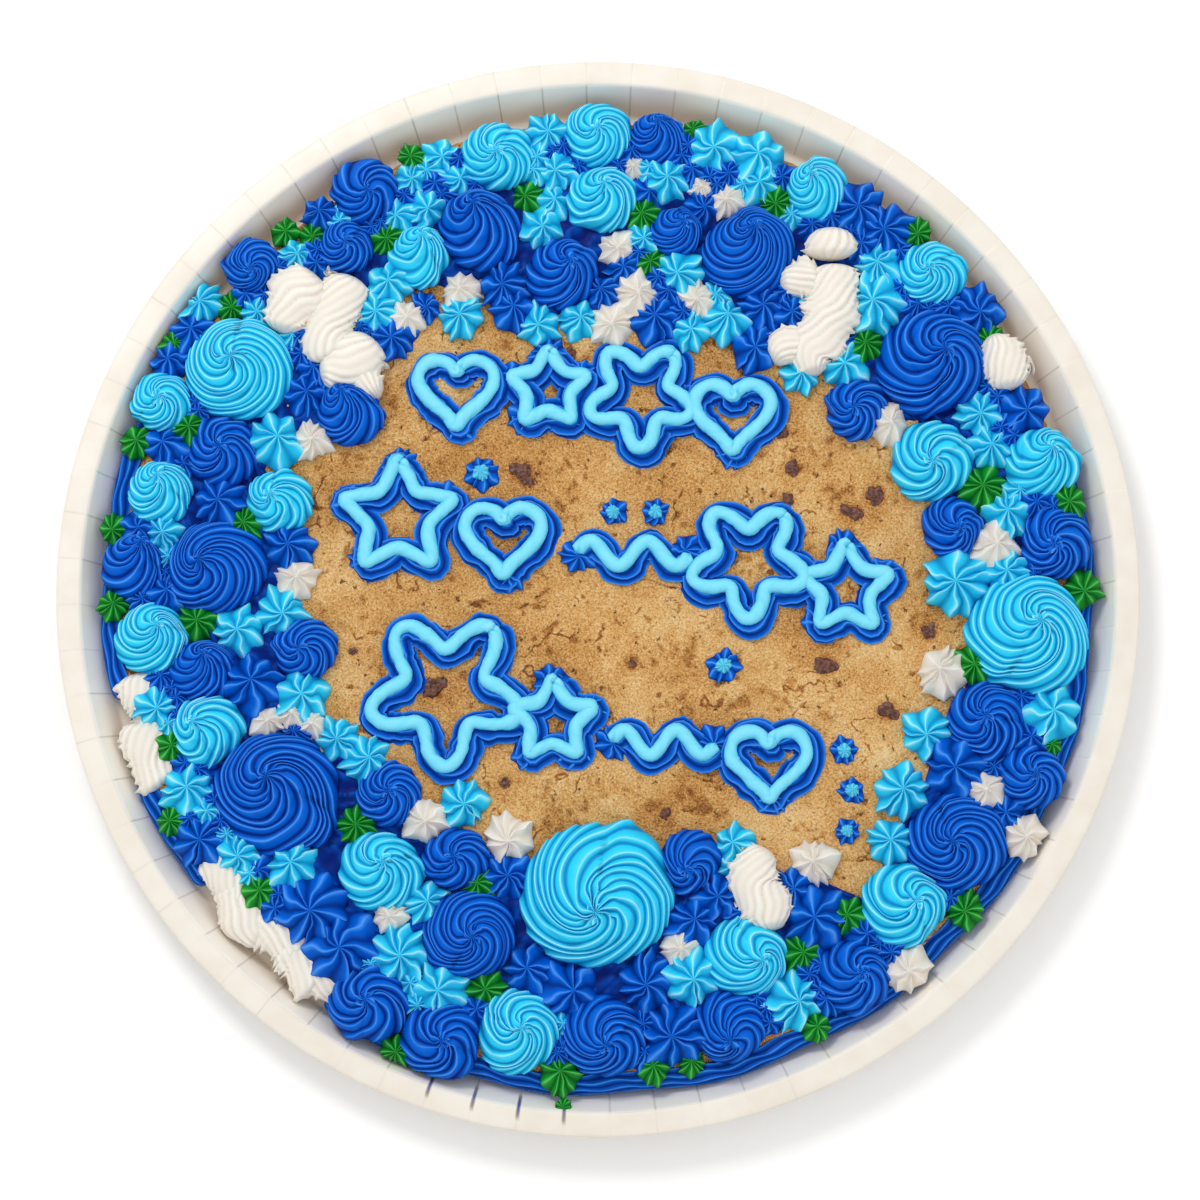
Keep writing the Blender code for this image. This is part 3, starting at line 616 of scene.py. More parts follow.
def starSkin(place, kind, lines, seed, base=cookieTop, height=None, lean=None):
    # A drop star: a peaked profile turned round whose radius is cut back by sin between the lobes, so each
    # lobe has a sharp crest from the peak to its tip. The lobes differ in length and turn a little outward.
    x, y, radius = place
    shape = starShape
    look = starKinds[kind]
    chance = np.random.default_rng(seed)
    height = height or shape["foot"] + shape["rise"] * radius
    radius = radius * look["grow"]
    lobes = int(chance.integers(*look["lobes"], endpoint=True))
    rows = int(np.clip(shape["rowsPerMm"] * place[2], *shape["rows"]))
    rho, level = profileRows(shape["profile"], radius, height, rows)[1:]
    within, step = ridgeSteps(shape["across"], lobes)
    start = step / lobes * turn
    waves = chance.uniform(0, turn, 8)
    uneven = look["uneven"]
    length = perRidge(step, 1.0 + uneven * chance.uniform(-1, 1, lobes))
    sideways = 0.8 * uneven * np.sin(2 * start + waves[0]) + 0.35 * uneven * np.sin(5 * start + waves[6])
    twist = look["twist"] * chance.uniform(0.2, 1.4)
    angle = waves[1] + start + sideways - twist * rho + 0.12 * rho ** 2 * np.sin(3 * start + waves[2])
    zigzag = perRidge(step, look["zigzag"] * chance.uniform(-1.3, 1.3, lobes) * turn / lobes)
    angle = angle + zigzag * (blend(0.36, 0.60, rho) - 0.6 * blend(0.66, 0.90, rho))
    tall = 0.5 * uneven * np.sin(3 * start + waves[7])
    hollow = np.sin(math.pi * within)
    cut = look["depth"] * hollow ** look["round"] * (0.7 + 0.3 * blend(0.0, 0.5, rho))
    ripple = 0.02 * radius * np.sin(5 * start + 9 * rho + waves[3]) * rho
    distance = squeezed(radius * length, angle, lines, shape["softness"]) * rho * (1.0 - cut) + ripple
    hollow = 0.45 * hollow ** 0.8 + 0.55 * (1.0 - np.abs(2.0 * within - 1.0))
    sag = look["sag"] * height * hollow * blend(0.0, 0.35, rho) * blend(0.0, 0.3, level)
    up = height * level * (1.0 + tall * rho) - sag + 0.06 * height * np.sin(start + waves[4]) * rho
    leanBy = radius * chance.uniform(0.0, 0.22)
    leanTo, leanBy = (lean[0], lean[1] * radius) if lean else (waves[5], leanBy)
    leanX, leanY = leanBy * math.cos(leanTo), leanBy * math.sin(leanTo)
    drift = np.clip(1.0 - rho, 0.0, 1.0) ** 1.2
    points = polar(x + leanX * drift, y + leanY * drift, distance, angle, base + up)
    # The tone paints a thin highlight along each lobe's crest, shade between the lobes and shade towards the
    # foot
    crest = 1.0 - hollow
    line = crestHighlight(within, shape["crestHighlight"])
    tone = 0.12 + 0.34 * blend(0.0, 0.45, crest) + 0.10 * crest + 0.44 * line
    tone = tone * (0.50 + 0.50 * blend(-0.05, 0.45, level))
    return closedSkin(points, (x + leanX, y + leanY, base + height), (x, y, base - 0.1 * height), tone)


# The white side ruffles stand where stars are skipped, in degrees along the rim
gapShape = {
    "skipped": ((190, 204), (214, 238)), "skippedReach": 188.0, "skippedSize": 9.0,
    "spacing": 2.0, "least": -0.6, "grow": 5.2, "range": (6.0, 10.0), "near": 10.0, "sectors": 8,
    "ringed": 6, "edge": 186.0, "rim": 172.0, "rimSectors": 3, "kept": 0.8, "skyEvery": 5,
}


def gapStars(placed):
    # Places in the border that nothing covers yet, the widest gap first, each with icing in most of the
    # sectors round it. Near the rim the outer sectors count as filled.
    shape = gapShape
    found = []
    line = np.arange(-shape["edge"], shape["edge"] + 1, shape["spacing"])
    x, y = [g.ravel() for g in np.meshgrid(line, line)]
    inside = np.hypot(x, y) < shape["edge"]
    x, y = x[inside], y[inside]
    circles = np.array(placed, float)
    offX, offY = circles[:, 0] - x[:, None], circles[:, 1] - y[:, None]
    away = np.hypot(offX, offY) - circles[:, 2]
    sector = np.floor(np.mod(np.arctan2(offY, offX), turn) / turn * shape["sectors"])
    near = away < shape["near"]
    ringed = sum(np.any(near & (sector == k), axis=1).astype(int) for k in range(shape["sectors"]))
    ringed = ringed + np.where(np.hypot(x, y) > shape["rim"], shape["rimSectors"], 0)
    free = np.where(ringed >= shape["ringed"], away.min(axis=1), -1.0)
    while free.max() > shape["least"]:
        best = int(np.argmax(free))
        radius = float(np.clip(free[best] + shape["grow"], *shape["range"]))
        found.append((float(x[best]), float(y[best]), radius))
        free = np.minimum(free, np.hypot(x - x[best], y - y[best]) - shape["kept"] * radius)
    return found


bedShape = {
    "columns": 540, "rows": 52, "outer": 184.5, "inner": 88.0, "step": 1.5, "inset": 5.0, "thick": 2.8,
    "ridgeSize": 4.6, "fineSize": 2.5, "up": 13.2, "under": 12.4,
}


def bedSkin(placed):
    # The layer of royal icing under the border: a ring whose inner edge follows the innermost mounds, a
    # little behind them, its top creased by 1 - |random field|
    shape = bedShape
    angle = np.arange(shape["columns"]) / shape["columns"] * turn
    reach = np.arange(shape["inner"], shape["outer"], shape["step"])[:, None]
    x, y = reach * np.cos(angle), reach * np.sin(angle)
    covered = np.zeros(x.shape, bool)
    for placeX, placeY, radius in placed:
        covered = covered | (np.hypot(x - placeX, y - placeY) < radius)
    first = np.where(covered.any(axis=0), np.argmax(covered, axis=0), len(reach) - 1)
    edge = reach[first, 0]
    edge = np.max([np.roll(edge, k) for k in range(-5, 6)], axis=0)
    edge = np.mean([np.roll(edge, k) for k in range(-3, 4)], axis=0) + shape["inset"]
    top = edge + (shape["outer"] - edge) * np.linspace(0.0, 1.0, shape["rows"])[:, None]
    x, y = top * np.cos(angle), top * np.sin(angle)
    size, fine = shape["ridgeSize"], shape["fineSize"]
    seed = seeds["bed"]
    folds = randomField(x / size + 30, y / size, seed) + 0.4 * randomField(y / fine, x / fine, seed + 1)
    crease = 1.0 - np.abs(folds)
    edges = blend(0.0, 2.5, top - edge) * blend(0.0, 1.5, shape["outer"] - top)
    rise = 0.5 + shape["thick"] * (0.30 + 0.70 * crease ** 2) * edges
    upper = np.stack([x, y, shape["up"] + rise], axis=-1)
    lower = upper[[-1, 0]].copy()
    lower[..., 2] = shape["under"]
    # The bed is painted dark, near the valley shade, as shade between the mounds, lighter only on its
    # creases' tops
    tone = np.concatenate([0.02 + 0.30 * crease ** 4, np.full(crease[:2].shape, 0.1)])
    return ringSkin(np.concatenate([upper, lower])[::-1], tone[::-1])


for kind, swirls in (("royal", royalSwirls), ("sky", skySwirls)):
    label = f"{kind}_swirl"
    for number, place in enumerate(swirls, 1):
        lines = roomAround(place, onTop, swirlShape["overlap"])
        skins = swirlSkin(place, lines, seeds[label] + number, swirlLeans[label].get(number))
        makePiece(f"piped_{label}_{number:02d}", skins, *icing[kind], [f"{label}_{number:02d}"])
print("rosettes piped")

makePiece("royal_icing_bed", [bedSkin(onTop)], *icing["royal"], ["cookie"])
reach, size = gapShape["skippedReach"], gapShape["skippedSize"]
skipped = [math.radians(a) for first, last in gapShape["skipped"] for a in range(first, last + 1, 4)]
gapFillers = gapStars(onTop + [(reach * math.cos(a), reach * math.sin(a), size) for a in skipped])
print(len(gapFillers), "small stars fill the gaps of the border")
borderStars = (
    ("royal", "gap", [s for k, s in enumerate(gapFillers) if k % gapShape["skyEvery"]]),
    ("sky", "gap", gapFillers[::gapShape["skyEvery"]]),
    ("royal", "drop", royalStars), ("sky", "drop", skyStars), ("white", "drop", whiteStars),
    ("leaf", "drop", leafStars))
for kind, sort, stars in borderStars:
    label = f"{kind}_{sort}_stars"
    skins = [starSkin(s, kind, roomAround(s, [], 0.0), seeds[label] + k) for k, s in enumerate(stars)]
    makePiece(label, skins, *icing[kind], ["cookie"])
print("drop stars piped")


# White ruffles: each strand is a line of x, y and half its width

ruffleStrands = {
    1: (((-127, 105, 5.0), (-125, 112, 9.0), (-120, 121, 11.5), (-113, 129, 8.0)),
        ((-99, 129, 5.5), (-102, 122, 9.5), (-107, 112, 9.0), (-109, 102, 9.5), (-106, 94, 7.0)),
        ((-91, 104, 6.0), (-96, 97, 10.5), (-103, 91, 10.0), (-112, 88, 4.5)),
        ((-100, 89, 5.0), (-93, 85, 6.5), (-88, 79, 3.0))),
    2: (((94, 149, 5.0), (94, 142, 10.5), (94, 135, 7.0)),
        ((73, 125, 4.5), (80, 127, 6.5), (90, 129, 6.5)),
        ((95, 134, 7.0), (95, 122, 9.5), (93, 111, 10.0), (89, 102, 10.0), (86, 95, 8.0), (88, 88, 3.5)),
        ((84, 102, 5.5), (76, 100, 7.5), (71, 93, 3.5))),
    3: (((67, -102, 5.0), (63, -109, 8.5), (62, -117, 9.5), (67, -126, 9.5), (70, -135, 5.0)),),
    4: (((158, 105, 4.0), (161, 98, 7.5), (164, 90, 9.0), (166, 82, 4.5)),),
}
ruffleShape = {
    "spacing": 0.6, "columns": 84, "foot": 6.6, "rise": 0.5, "base": 14.0, "taper": 4.0, "toothSize": 4.6,
    "tooth": 3.0, "folds": 13, "foldTurn": 0.95, "fold": 0.62, "tips": 7, "tipLength": 16.0,
    "tipReach": (0.74, 0.92), "tipSize": (0.42, 0.56), "tipRise": (0.6, 0.85), "tipLean": 0.3,
}


def strandLength(strand):
    return float(lengthAlong(np.array(strand, float)[:, :2])[-1])


def pathFrame(path, taper, least):
    # The length along a path, its direction, the room to its nearer end over the taper, and how far it is
    # drawn in there: the root of 1 - (1 - room)^2, which gives it a round end
    along = lengthAlong(path)[:, None]
    forward = np.gradient(path, axis=0)
    forward = forward / np.linalg.norm(forward, axis=1)[:, None]
    room = np.minimum(along, along[-1] - along) / taper
    ends = np.sqrt(np.clip(1.0 - (1.0 - np.clip(room, 0.0, 1.0)) ** 2, least, 1.0))
    return along, forward, room, ends


def ruffleSkin(strand, seed, base=ruffleShape["base"], high=None):
    # A strand of soft icing: an oval section carried along a path of changing width. Soft folds wind slowly
    # round it, |sin| of half of folds times angle + turn times length, and short teeth stand on its edges.
    shape = ruffleShape
    chance = np.random.default_rng(seed)
    path = evenCurve(strand, int(strandLength(strand) / shape["spacing"]) + 8)
    flat, half = path[:, :2], path[:, 2:]
    along, forward, _, ends = pathFrame(flat, shape["taper"], 0.03)
    side = np.stack([forward[:, 1], -forward[:, 0]], axis=1)
    around = np.arange(shape["columns"])[None, :] / shape["columns"] * turn
    waves = chance.uniform(0, turn, 6)
    drift = 1.8 * np.sin(0.16 * along + waves[0])
    drift = drift + 0.7 * np.sin(0.41 * along + waves[1] + 2 * np.cos(around))
    swell = 1.0 + 0.05 * np.sin(0.40 * along + waves[2])
    slant = shape["folds"] * around + shape["foldTurn"] * along + drift
    strength = 0.65 + 0.35 * np.sin(3 * around + 0.22 * along + waves[4])
    fold = (2.0 * np.abs(np.sin(0.5 * slant)) ** 0.8 - 1.0) * strength
    phase = along / shape["toothSize"] + 0.5 * np.sign(np.cos(around))
    phase = phase + 0.35 * np.sin(0.9 * along + waves[5])
    strong = chance.uniform(0.0, 1.2, 64)[np.floor(phase).astype(int) % 64]
    tooth = (np.abs(np.mod(phase, 1.0) - 0.5) * 2.0) ** 1.6 * strong * np.abs(np.cos(around)) ** 4
    height = high or shape["foot"] + shape["rise"] * float(np.max(half))
    tall = height * (0.72 + 0.28 * half / np.max(half)) * ends
    across = (half * swell * ends + shape["tooth"] * tooth * ends) * np.cos(around)
    across = across + 0.6 * shape["fold"] * fold * np.cos(around) * ends
    up = 0.46 * tall + 0.56 * tall * np.sin(around)
    up = up + shape["fold"] * fold * np.maximum(np.sin(around), 0.0) * ends
    points = flat[:, None] + side[:, None] * across[..., None]
    points = np.concatenate([points, (base + up)[..., None]], axis=-1)
    # The tone paints highlight on the folds' crests, teeth and the strand's top, and shade in the folds and
    # beneath
    tone = np.clip(0.36 + 0.38 * fold + 0.18 * tooth + 0.14 * np.sin(around), 0.0, 1.0)
    start, stop = [(*flat[k], base + 0.46 * float(tall[k, 0])) for k in (0, -1)]
    return closedSkin(points[1:-1], start, stop, tone[1:-1])


def ruffleTips(strand, seed):
    # Small torn peaks along a strand's edges, left and right in turn: little stars leaning outward
    shape = ruffleShape
    chance = np.random.default_rng(seed)
    path = evenCurve(strand, 2 * shape["tips"] + 1)
    step = float(np.linalg.norm(path[1, :2] - path[0, :2]))
    tips = []
    for k in range(3, len(path) - 3, 2):
        x, y, half = path[k]
        ahead = path[k + 1, :2] - path[k - 1, :2]
        beside = 0.5 if len(tips) % 2 else -0.5
        outward = math.atan2(ahead[1], ahead[0]) + beside * math.pi + chance.uniform(-0.5, 0.5)
        drawnIn = min(1.0, 0.4 + 0.6 * step * min(k, len(path) - 1 - k) / shape["taper"])
        reach = chance.uniform(*shape["tipReach"]) * half * drawnIn
        size = float(chance.uniform(*shape["tipSize"]) * half)
        tall = chance.uniform(*shape["tipRise"]) * (shape["foot"] + shape["rise"] * half)
        place = (x + reach * math.cos(outward), y + reach * math.sin(outward), size)
        tip = starSkin(place, "nub", [], seed + 1 + k, shape["base"], tall, (outward, shape["tipLean"]))
        # Painted light: the nubs' tone is lifted, so their painted shade is lighter
        tip["tones"] = 0.40 + 0.55 * tip["tones"]
        tips.append(tip)
    return tips


for chain, strands in ruffleStrands.items():
    skins = [ruffleSkin(strand, seeds["ruffle"] + 20 * chain + k) for k, strand in enumerate(strands)]
    for k, strand in enumerate(strands):
        if strandLength(strand) > ruffleShape["tipLength"]:
            skins += ruffleTips(strand, seeds["ruffle_tips"] + 100 * chain + 20 * k)
    makePiece(f"piped_white_ruffle_{chain}", skins, *icing["white"], [f"white_ruffle_{chain}"])
print("ruffles piped")


# Ropes and lines

ropeAcross = (0.0, 0.05, 0.17, 0.5, 0.83, 0.95)
ropeKinds = {
    "motif": {"ridges": 9, "depth": 0.20, "taper": 3.0},
    "side": {"ridges": 9, "depth": 0.15, "taper": 5.0},
    "line": {"ridges": 0, "columns": 24, "taper": 2.2},
}


def ropeSkin(path, halfWidth, halfHeight, kind, twist=0.0):
    # A rope: an oval section with cusped lengthwise ridges carried along the path, drawn in to a point at
    # both ends; with no ridges it is a smooth line
    look = ropeKinds[kind]
    path = np.asarray(path, float)
    along, forward, room, ends = pathFrame(path, look["taper"], 0.02)
    side = np.cross(forward, (0.0, 0.0, 1.0))
    side = side / np.linalg.norm(side, axis=1)[:, None]
    above = np.cross(side, forward)
    if look["ridges"]:
        within, step = ridgeSteps(ropeAcross, look["ridges"])
        around = step / look["ridges"] * turn
        crest = 1.0 - np.sin(math.pi * within) ** 0.85
        around = around + twist * along + 0.12 * np.sin(0.35 * along + 2 * around)
        # The tone paints a thin highlight along each crest and shade in the valleys
        tone = 0.04 + 0.36 * blend(0.0, 0.4, crest) + 0.10 * crest + 0.46 * crestHighlight(within, 0.06)
        tone = np.broadcast_to(tone, around.shape)
        grow = (1.0 + look["depth"] * (crest - 0.6)) * ends
    else:
        around = np.arange(look["columns"])[None, :] / look["columns"] * turn
        lumps = randomField(0.42 * along + 1.6 * np.cos(around), 1.6 * np.sin(around) + 9.0, 71)
        fine = randomField(1.1 * along + 3.0 * np.cos(around), 3.0 * np.sin(around) + 9.0, 72)
        rough = 0.55 * lumps + 0.45 * fine
        atEnd = 1.0 - blend(0.6, 2.2, room)
        # The tone paints highlight on the line's top and shade beneath it, darker where its lumps dip, most
        # at the ends
        tone = 0.40 + 0.50 * np.sin(around) + (0.16 + 0.5 * atEnd) * np.minimum(rough, 0.2)
        grow = ends * (1.0 + (0.07 + 0.28 * atEnd) * rough)
    wide, high = [np.asarray(half, float).reshape(-1, 1) for half in (halfWidth, halfHeight)]
    points = path[:, None] + side[:, None] * (np.cos(around) * wide * grow)[..., None]
    points = points + above[:, None] * (np.sin(around) * high * grow)[..., None]
    return closedSkin(points[1:-1], path[0], path[-1], tone[1:-1])


def evenPath(points, spacing, rounding):
    # A closed outline sampled evenly, its corners rounded by averaging along the line
    closed = np.vstack([points, points[:1]])
    along = lengthAlong(closed)
    count = int(along[-1] / spacing)
    places = np.arange(count) / count * along[-1]
    even = np.stack([np.interp(places, along, column) for column in closed.T], axis=1)
    window = max(1, int(rounding / spacing / 2))
    return sum(np.roll(even, k, axis=0) for k in range(-window, window + 1)) / (2 * window + 1)


motifShape = {
    "hearts": ((-57, 83, 31), (54, 73, 31), (-38, 23, 31), (68, -67, 31)),
    "stars": ((-20, 83, 34), (-80, 31, 48), (99, 2, 38), (-18, -51, 35)),
    "flowers": ((17, 80, 33), (60, 13, 36), (-61, -39, 47)),
    "waves": ((14, 16, 46), (26, -60, 42)),
    "petals": 5, "petalDepth": 0.32, "starCorners": 5, "starNotch": 0.5, "waveHeight": 5.0, "waveTurns": 2,
    "ropeWide": 6.4, "ropeHigh": 4.0, "ropeUp": 13.9, "cornerSize": 6.6, "cornerHigh": 4.6,
    "lineWide": 2.75, "lineHigh": 2.4, "lineUp": 18.0, "offset": (1.1, -1.3), "spacing": 1.3,
    "rounding": 5.3, "overrun": 5.0, "dotHigh": 3.6, "paleDot": 0.55, "paleDotUp": 16.4, "paleDotHigh": 3.2,
}


def heartOutline(x, y, width):
    # The heart curve: 16 sin^3 across, 13 cos - 5 cos 2 - 2 cos 3 - cos 4 up, scaled to its width
    angle = np.linspace(0.0, turn, 160, endpoint=False) + 0.35
    across = 16 * np.sin(angle) ** 3
    up = 13 * np.cos(angle) - 5 * np.cos(2 * angle) - 2 * np.cos(3 * angle) - np.cos(4 * angle)
    return np.stack([x + across * width / 32, y + up * width / 32], axis=1)


def starOutline(x, y, width):
    # Corners at the full reach and at a share of it in turn
    corners = 2 * motifShape["starCorners"]
    angle = np.arange(corners) / corners * turn
    reach = np.where(np.arange(corners) % 2, motifShape["starNotch"], 1.0) * width / 2
    return np.stack([x + reach * np.sin(angle), y + reach * np.cos(angle)], axis=1)


def flowerOutline(x, y, width):
    # A reach that swells once for each petal
    angle = np.linspace(0.0, turn, 200, endpoint=False) + 0.6
    reach = width / 2 * (1.0 - motifShape["petalDepth"] * np.cos(motifShape["petals"] * angle))
    return np.stack([x + reach * np.sin(angle), y + reach * np.cos(angle)], axis=1)


def unevenAlong(places, row, seed):
    # Random widths along a line, each line with its own row of the field
    return randomField(places, np.full(len(places), row), seed)


def ropeAndLine(rope, line, wide, high, thin, twist):
    dark = ropeSkin(rope, motifShape["ropeWide"] * wide, motifShape["ropeHigh"] * high, "motif", twist)
    return dark, ropeSkin(line, motifShape["lineWide"] * thin, motifShape["lineHigh"] * thin, "line")


def pipeMotif(outline, seed):
    # The dark rope below and the pale line on it, both a little past their start so that the ends overlap
    shape = motifShape
    chance = np.random.default_rng(seed)
    flat = evenPath(outline, shape["spacing"], shape["rounding"])
    count = len(flat)
    flat = flat[np.arange(count + int(shape["overrun"] / shape["spacing"])) % count]
    share = np.arange(len(flat)) / (len(flat) - 1)
    along = np.arange(len(flat)) * shape["spacing"]
    wobble = 0.35 * np.sin(0.5 * along + chance.uniform(0, turn))
    lift = 1.1 * blend(count / len(flat) - 0.06, 1.0, share)
    rope = np.column_stack([flat + shape["offset"], shape["ropeUp"] + 0.3 * lift])
    line = np.column_stack([flat + 0.4 * wobble[:, None], shape["lineUp"] + lift + 0.2 * wobble])
    thick = 1.0 + 0.10 * unevenAlong(0.2 * along, seed * 1.7, seed)
    rough = 1.0 + 0.10 * unevenAlong(0.5 * along, seed * 0.9, seed + 5)
    thin = 1.0 + 0.13 * unevenAlong(0.145 * along + 7, seed * 2.3, seed + 1)
    thin = thin + 0.07 * unevenAlong(0.64 * along, seed * 3.1, seed + 2)
    return ropeAndLine(rope, line, thick * rough, thick, thin, chance.uniform(-0.012, 0.012))


def pipeWave(x, y, width, seed):
    # A sine wave from left to right with a rope and a line on it
    shape = motifShape
    t = np.linspace(0.0, 1.0, int(width * 1.4 / shape["spacing"]))
    wave = shape["waveHeight"] * np.sin(t * shape["waveTurns"] * turn)
    flat = np.stack([x + (t - 0.5) * width, y + wave], axis=1)
    rope = np.column_stack([flat + shape["offset"], np.full(len(t), shape["ropeUp"])])
    line = np.column_stack([flat, np.full(len(t), shape["lineUp"])])
    thin = 1.0 + 0.10 * unevenAlong(t * 12, seed * 2.3, seed + 1)
    rough = 1.0 + 0.14 * unevenAlong(t * 22, seed * 0.9, seed + 5)
    return ropeAndLine(rope, line, rough, 1.0, thin, 0.01)


def motifStars(places, kind, seed, up, high):
    return [starSkin(place, kind, [], seed + k, up, high) for k, place in enumerate(places)]


motifs = [heartOutline(*m) for m in motifShape["hearts"]]
motifs += [starOutline(*m) for m in motifShape["stars"]]
motifs += [flowerOutline(*m) for m in motifShape["flowers"]]
piped = [pipeMotif(outline, seeds["motif"] + k) for k, outline in enumerate(motifs)]
piped += [pipeWave(*m, seeds["wave"] + k) for k, m in enumerate(motifShape["waves"])]
corners = [(x + motifShape["offset"][0], y + motifShape["offset"][1] - 0.46 * width)
           for x, y, width in motifShape["hearts"]]
for x, y, width in motifShape["stars"]:
    for k in range(motifShape["starCorners"]):
        angle = k / motifShape["starCorners"] * turn
        corners.append((x + 0.43 * width * math.sin(angle), y + 0.43 * width * math.cos(angle)))
for x, y, width in motifShape["waves"]:
    corners += [(x - width / 2 + 1.0, y), (x + width / 2 - 1.0, y)]
corners = [(x, y, motifShape["cornerSize"]) for x, y in corners]
smallDots = [(x, y, motifShape["paleDot"] * radius) for x, y, radius in dots]
darkStars = motifStars(corners, "royal", seeds["corner"], cookieTop, motifShape["cornerHigh"])
darkStars += motifStars(dots, "royal", seeds["dot"], cookieTop, motifShape["dotHigh"])
paleStars = motifStars(smallDots, "shell", seeds["pale_dot"], motifShape["paleDotUp"],
                       motifShape["paleDotHigh"])
darkSkins = [dark for dark, pale in piped] + darkStars
paleSkins = [pale for dark, pale in piped] + paleStars
makePiece("motif_dark_ropes", darkSkins, *icing["royal"], ["cookie"])
makePiece("motif_pale_lines", paleSkins, *icing["line"], ["cookie"])

# The rope round the cookie's side. The arcs are in degrees, and a sway is its size and its waves in a turn.
sideRope = {
    "arcs": ((145, 193), (202, 217), (236, 379)), "radius": 194.0, "half": 4.9, "high": 6.2, "up": 7.4,
    "waves": 18, "swing": 0.9,
}
whiteSide = {
    "arcs": ((189.5, 197.5), (195.5, 204), (213.5, 221.5), (218, 226), (223, 231), (228, 235), (232, 239)),
    "radius": 188.2, "inOut": (-1.6, 1.6), "sway": (1.6, 31), "half": 8.2, "swell": (1.3, 53), "up": 8.0,
    "high": 9.0,
}


def arcPath(first, last, radius, up, waves, swing):
    # An arc round the middle between two angles, its radius and height swaying as a sine
    angle = np.radians(np.arange(first, last, 0.4))
    sway = swing * np.sin(waves * angle)
    return polar(0.0, 0.0, radius + sway, angle, up + 0.5 * swing * np.cos(waves * 1.7 * angle))


def whiteStrand(number, first, last):
    # A short strand along an arc, in turn a little inside and outside the line, its width swelling as a sine
    look = whiteSide
    angle = np.radians(np.linspace(first, last, 6))
    radius = look["radius"] + look["inOut"][number % 2] + look["sway"][0] * np.sin(look["sway"][1] * angle)
    half = look["half"] + look["swell"][0] * np.sin(look["swell"][1] * angle + number)
    return polar(0.0, 0.0, radius, angle, half)


darkSides = []
for first, last in sideRope["arcs"]:
    path = arcPath(first, last, sideRope["radius"], sideRope["up"], sideRope["waves"], sideRope["swing"])
    darkSides.append(ropeSkin(path, sideRope["half"], sideRope["high"], "side"))
whiteSides = []
for number, arc in enumerate(whiteSide["arcs"]):
    strand = whiteStrand(number, *arc)
    whiteSides.append(ruffleSkin(strand, seeds["white_side"] + number, whiteSide["up"], whiteSide["high"]))
makePiece("side_rope_blue", darkSides, *icing["royal"], ["cookie"])
makePiece("side_rope_white", whiteSides, *icing["white"], ["cookie"])
print("motifs and side rope piped")


# The cookie

cookieShape = {
    "top": 13.9, "topRadius": 187.0, "under": 1.5, "columns": 600, "bare": 152.0, "bareStep": 1.1,
    "outerRings": 16, "swell": 0.95, "lump": 0.75, "crackDepth": 1.0, "pitDepth": 1.0, "sideTone": 0.30,
    "side": ((189.6, 13.4), (191.6, 12.0), (192.9, 10.2), (193.5, 8.0), (193.6, 6.0), (193.2, 4.0),
             (192.2, 2.6), (190.0, 1.6), (150.0, 1.5)),
}


def bakedTop(x, y):
    # Height over the cookie's flat top: broad swells and three sizes of lumps, less sharp pits and thin
    # cracks, and rims round the chips
    shape = cookieShape
    lumps = 0.55 * turnedField(x, y, 13, 41) + 0.34 * turnedField(x, y, 5.5, 42)
    lumps = lumps + 0.20 * turnedField(x, y, 2.3, 43)
    pits = blend(0.74, 0.90, turnedField(x, y, 2.6, 44) + 0.45 * turnedField(x, y, 11, 48))
    thread = 1.0 - np.abs(turnedField(x, y, 15, 45) + 0.28 * turnedField(x, y, 4.5, 46))
    cracks = blend(0.965, 1.0, thread) * blend(0.25, 0.55, turnedField(x, y, 26, 47))
    rims = np.zeros_like(x)
    for chipX, chipY, size in chips:
        far = np.hypot(x - chipX, y - chipY) / size
        rims = rims + 0.5 * np.exp(-((far - 1.25) / 0.3) ** 2) - 0.9 * np.exp(-(far / 0.8) ** 2)
    rise = shape["swell"] * turnedField(x, y, 34, 40) + shape["lump"] * lumps - shape["pitDepth"] * pits
    return rise - shape["crackDepth"] * cracks + rims, pits, cracks


def cookieSkin():
    # The baked disc: a flat top with its own relief, a rounded shoulder, a craggy side and a flat underside
    shape = cookieShape
    inner = np.arange(shape["bareStep"], shape["bare"], shape["bareStep"])
    outer = np.linspace(shape["bare"], shape["topRadius"], shape["outerRings"])
    topRings = np.concatenate([inner, outer])
    rings = np.vstack([np.column_stack([topRings, np.full(len(topRings), shape["top"])]), shape["side"]])
    reach, level = rings[:, :1], rings[:, 1:]
    angle = np.arange(shape["columns"])[None, :] / shape["columns"] * turn
    x, y = reach * np.cos(angle), reach * np.sin(angle)
    rise, pits, cracks = bakedTop(x, y)
    ring = np.arange(len(rings))[:, None]
    onTopFace = ring < len(topRings)
    onSide = (ring < len(rings) - 2) & ~onTopFace
    crag = 0.55 * randomField(angle * 60, level * 0.5, 51) + 0.4 * randomField(angle * 140, level * 1.1, 52)
    # The tone is lighter on raised parts and darker in the hollows, pits and cracks: painted light and shade
    tone = 0.40 - 0.08 * pits - 0.07 * cracks + 0.14 * rise + 0.10 * turnedField(x, y, 22, 49)
    tone = np.where(onTopFace, tone, shape["sideTone"])
    for chipX, chipY, size in chips:
        tone = tone - 0.22 * np.exp(-(np.hypot(x - chipX, y - chipY) / size / 1.5) ** 2)
    reach, level = reach + np.where(onSide, crag, 0.0), level + np.where(onTopFace, rise, 0.0)
    points = polar(0.0, 0.0, reach, angle, level)
    middle = float(bakedTop(np.zeros(1), np.zeros(1))[0][0])
    return closedSkin(points, (0, 0, shape["top"] + middle), (0, 0, shape["under"]), tone)


chipShape = {
    "rings": ((0.12, 0.95), (0.25, 0.92), (0.38, 0.88), (0.5, 0.82), (0.62, 0.76), (0.74, 0.68),
              (0.84, 0.56), (0.93, 0.38), (1.0, 0.10), (1.02, -0.6)),
    "columns": 36, "outline": ((0.22, 2), (0.16, 3), (0.12, 5)), "steps": 0.10, "stretch": (0.6, 0.9),
    "rise": 0.20, "base": 13.5, "under": 13.0,
}


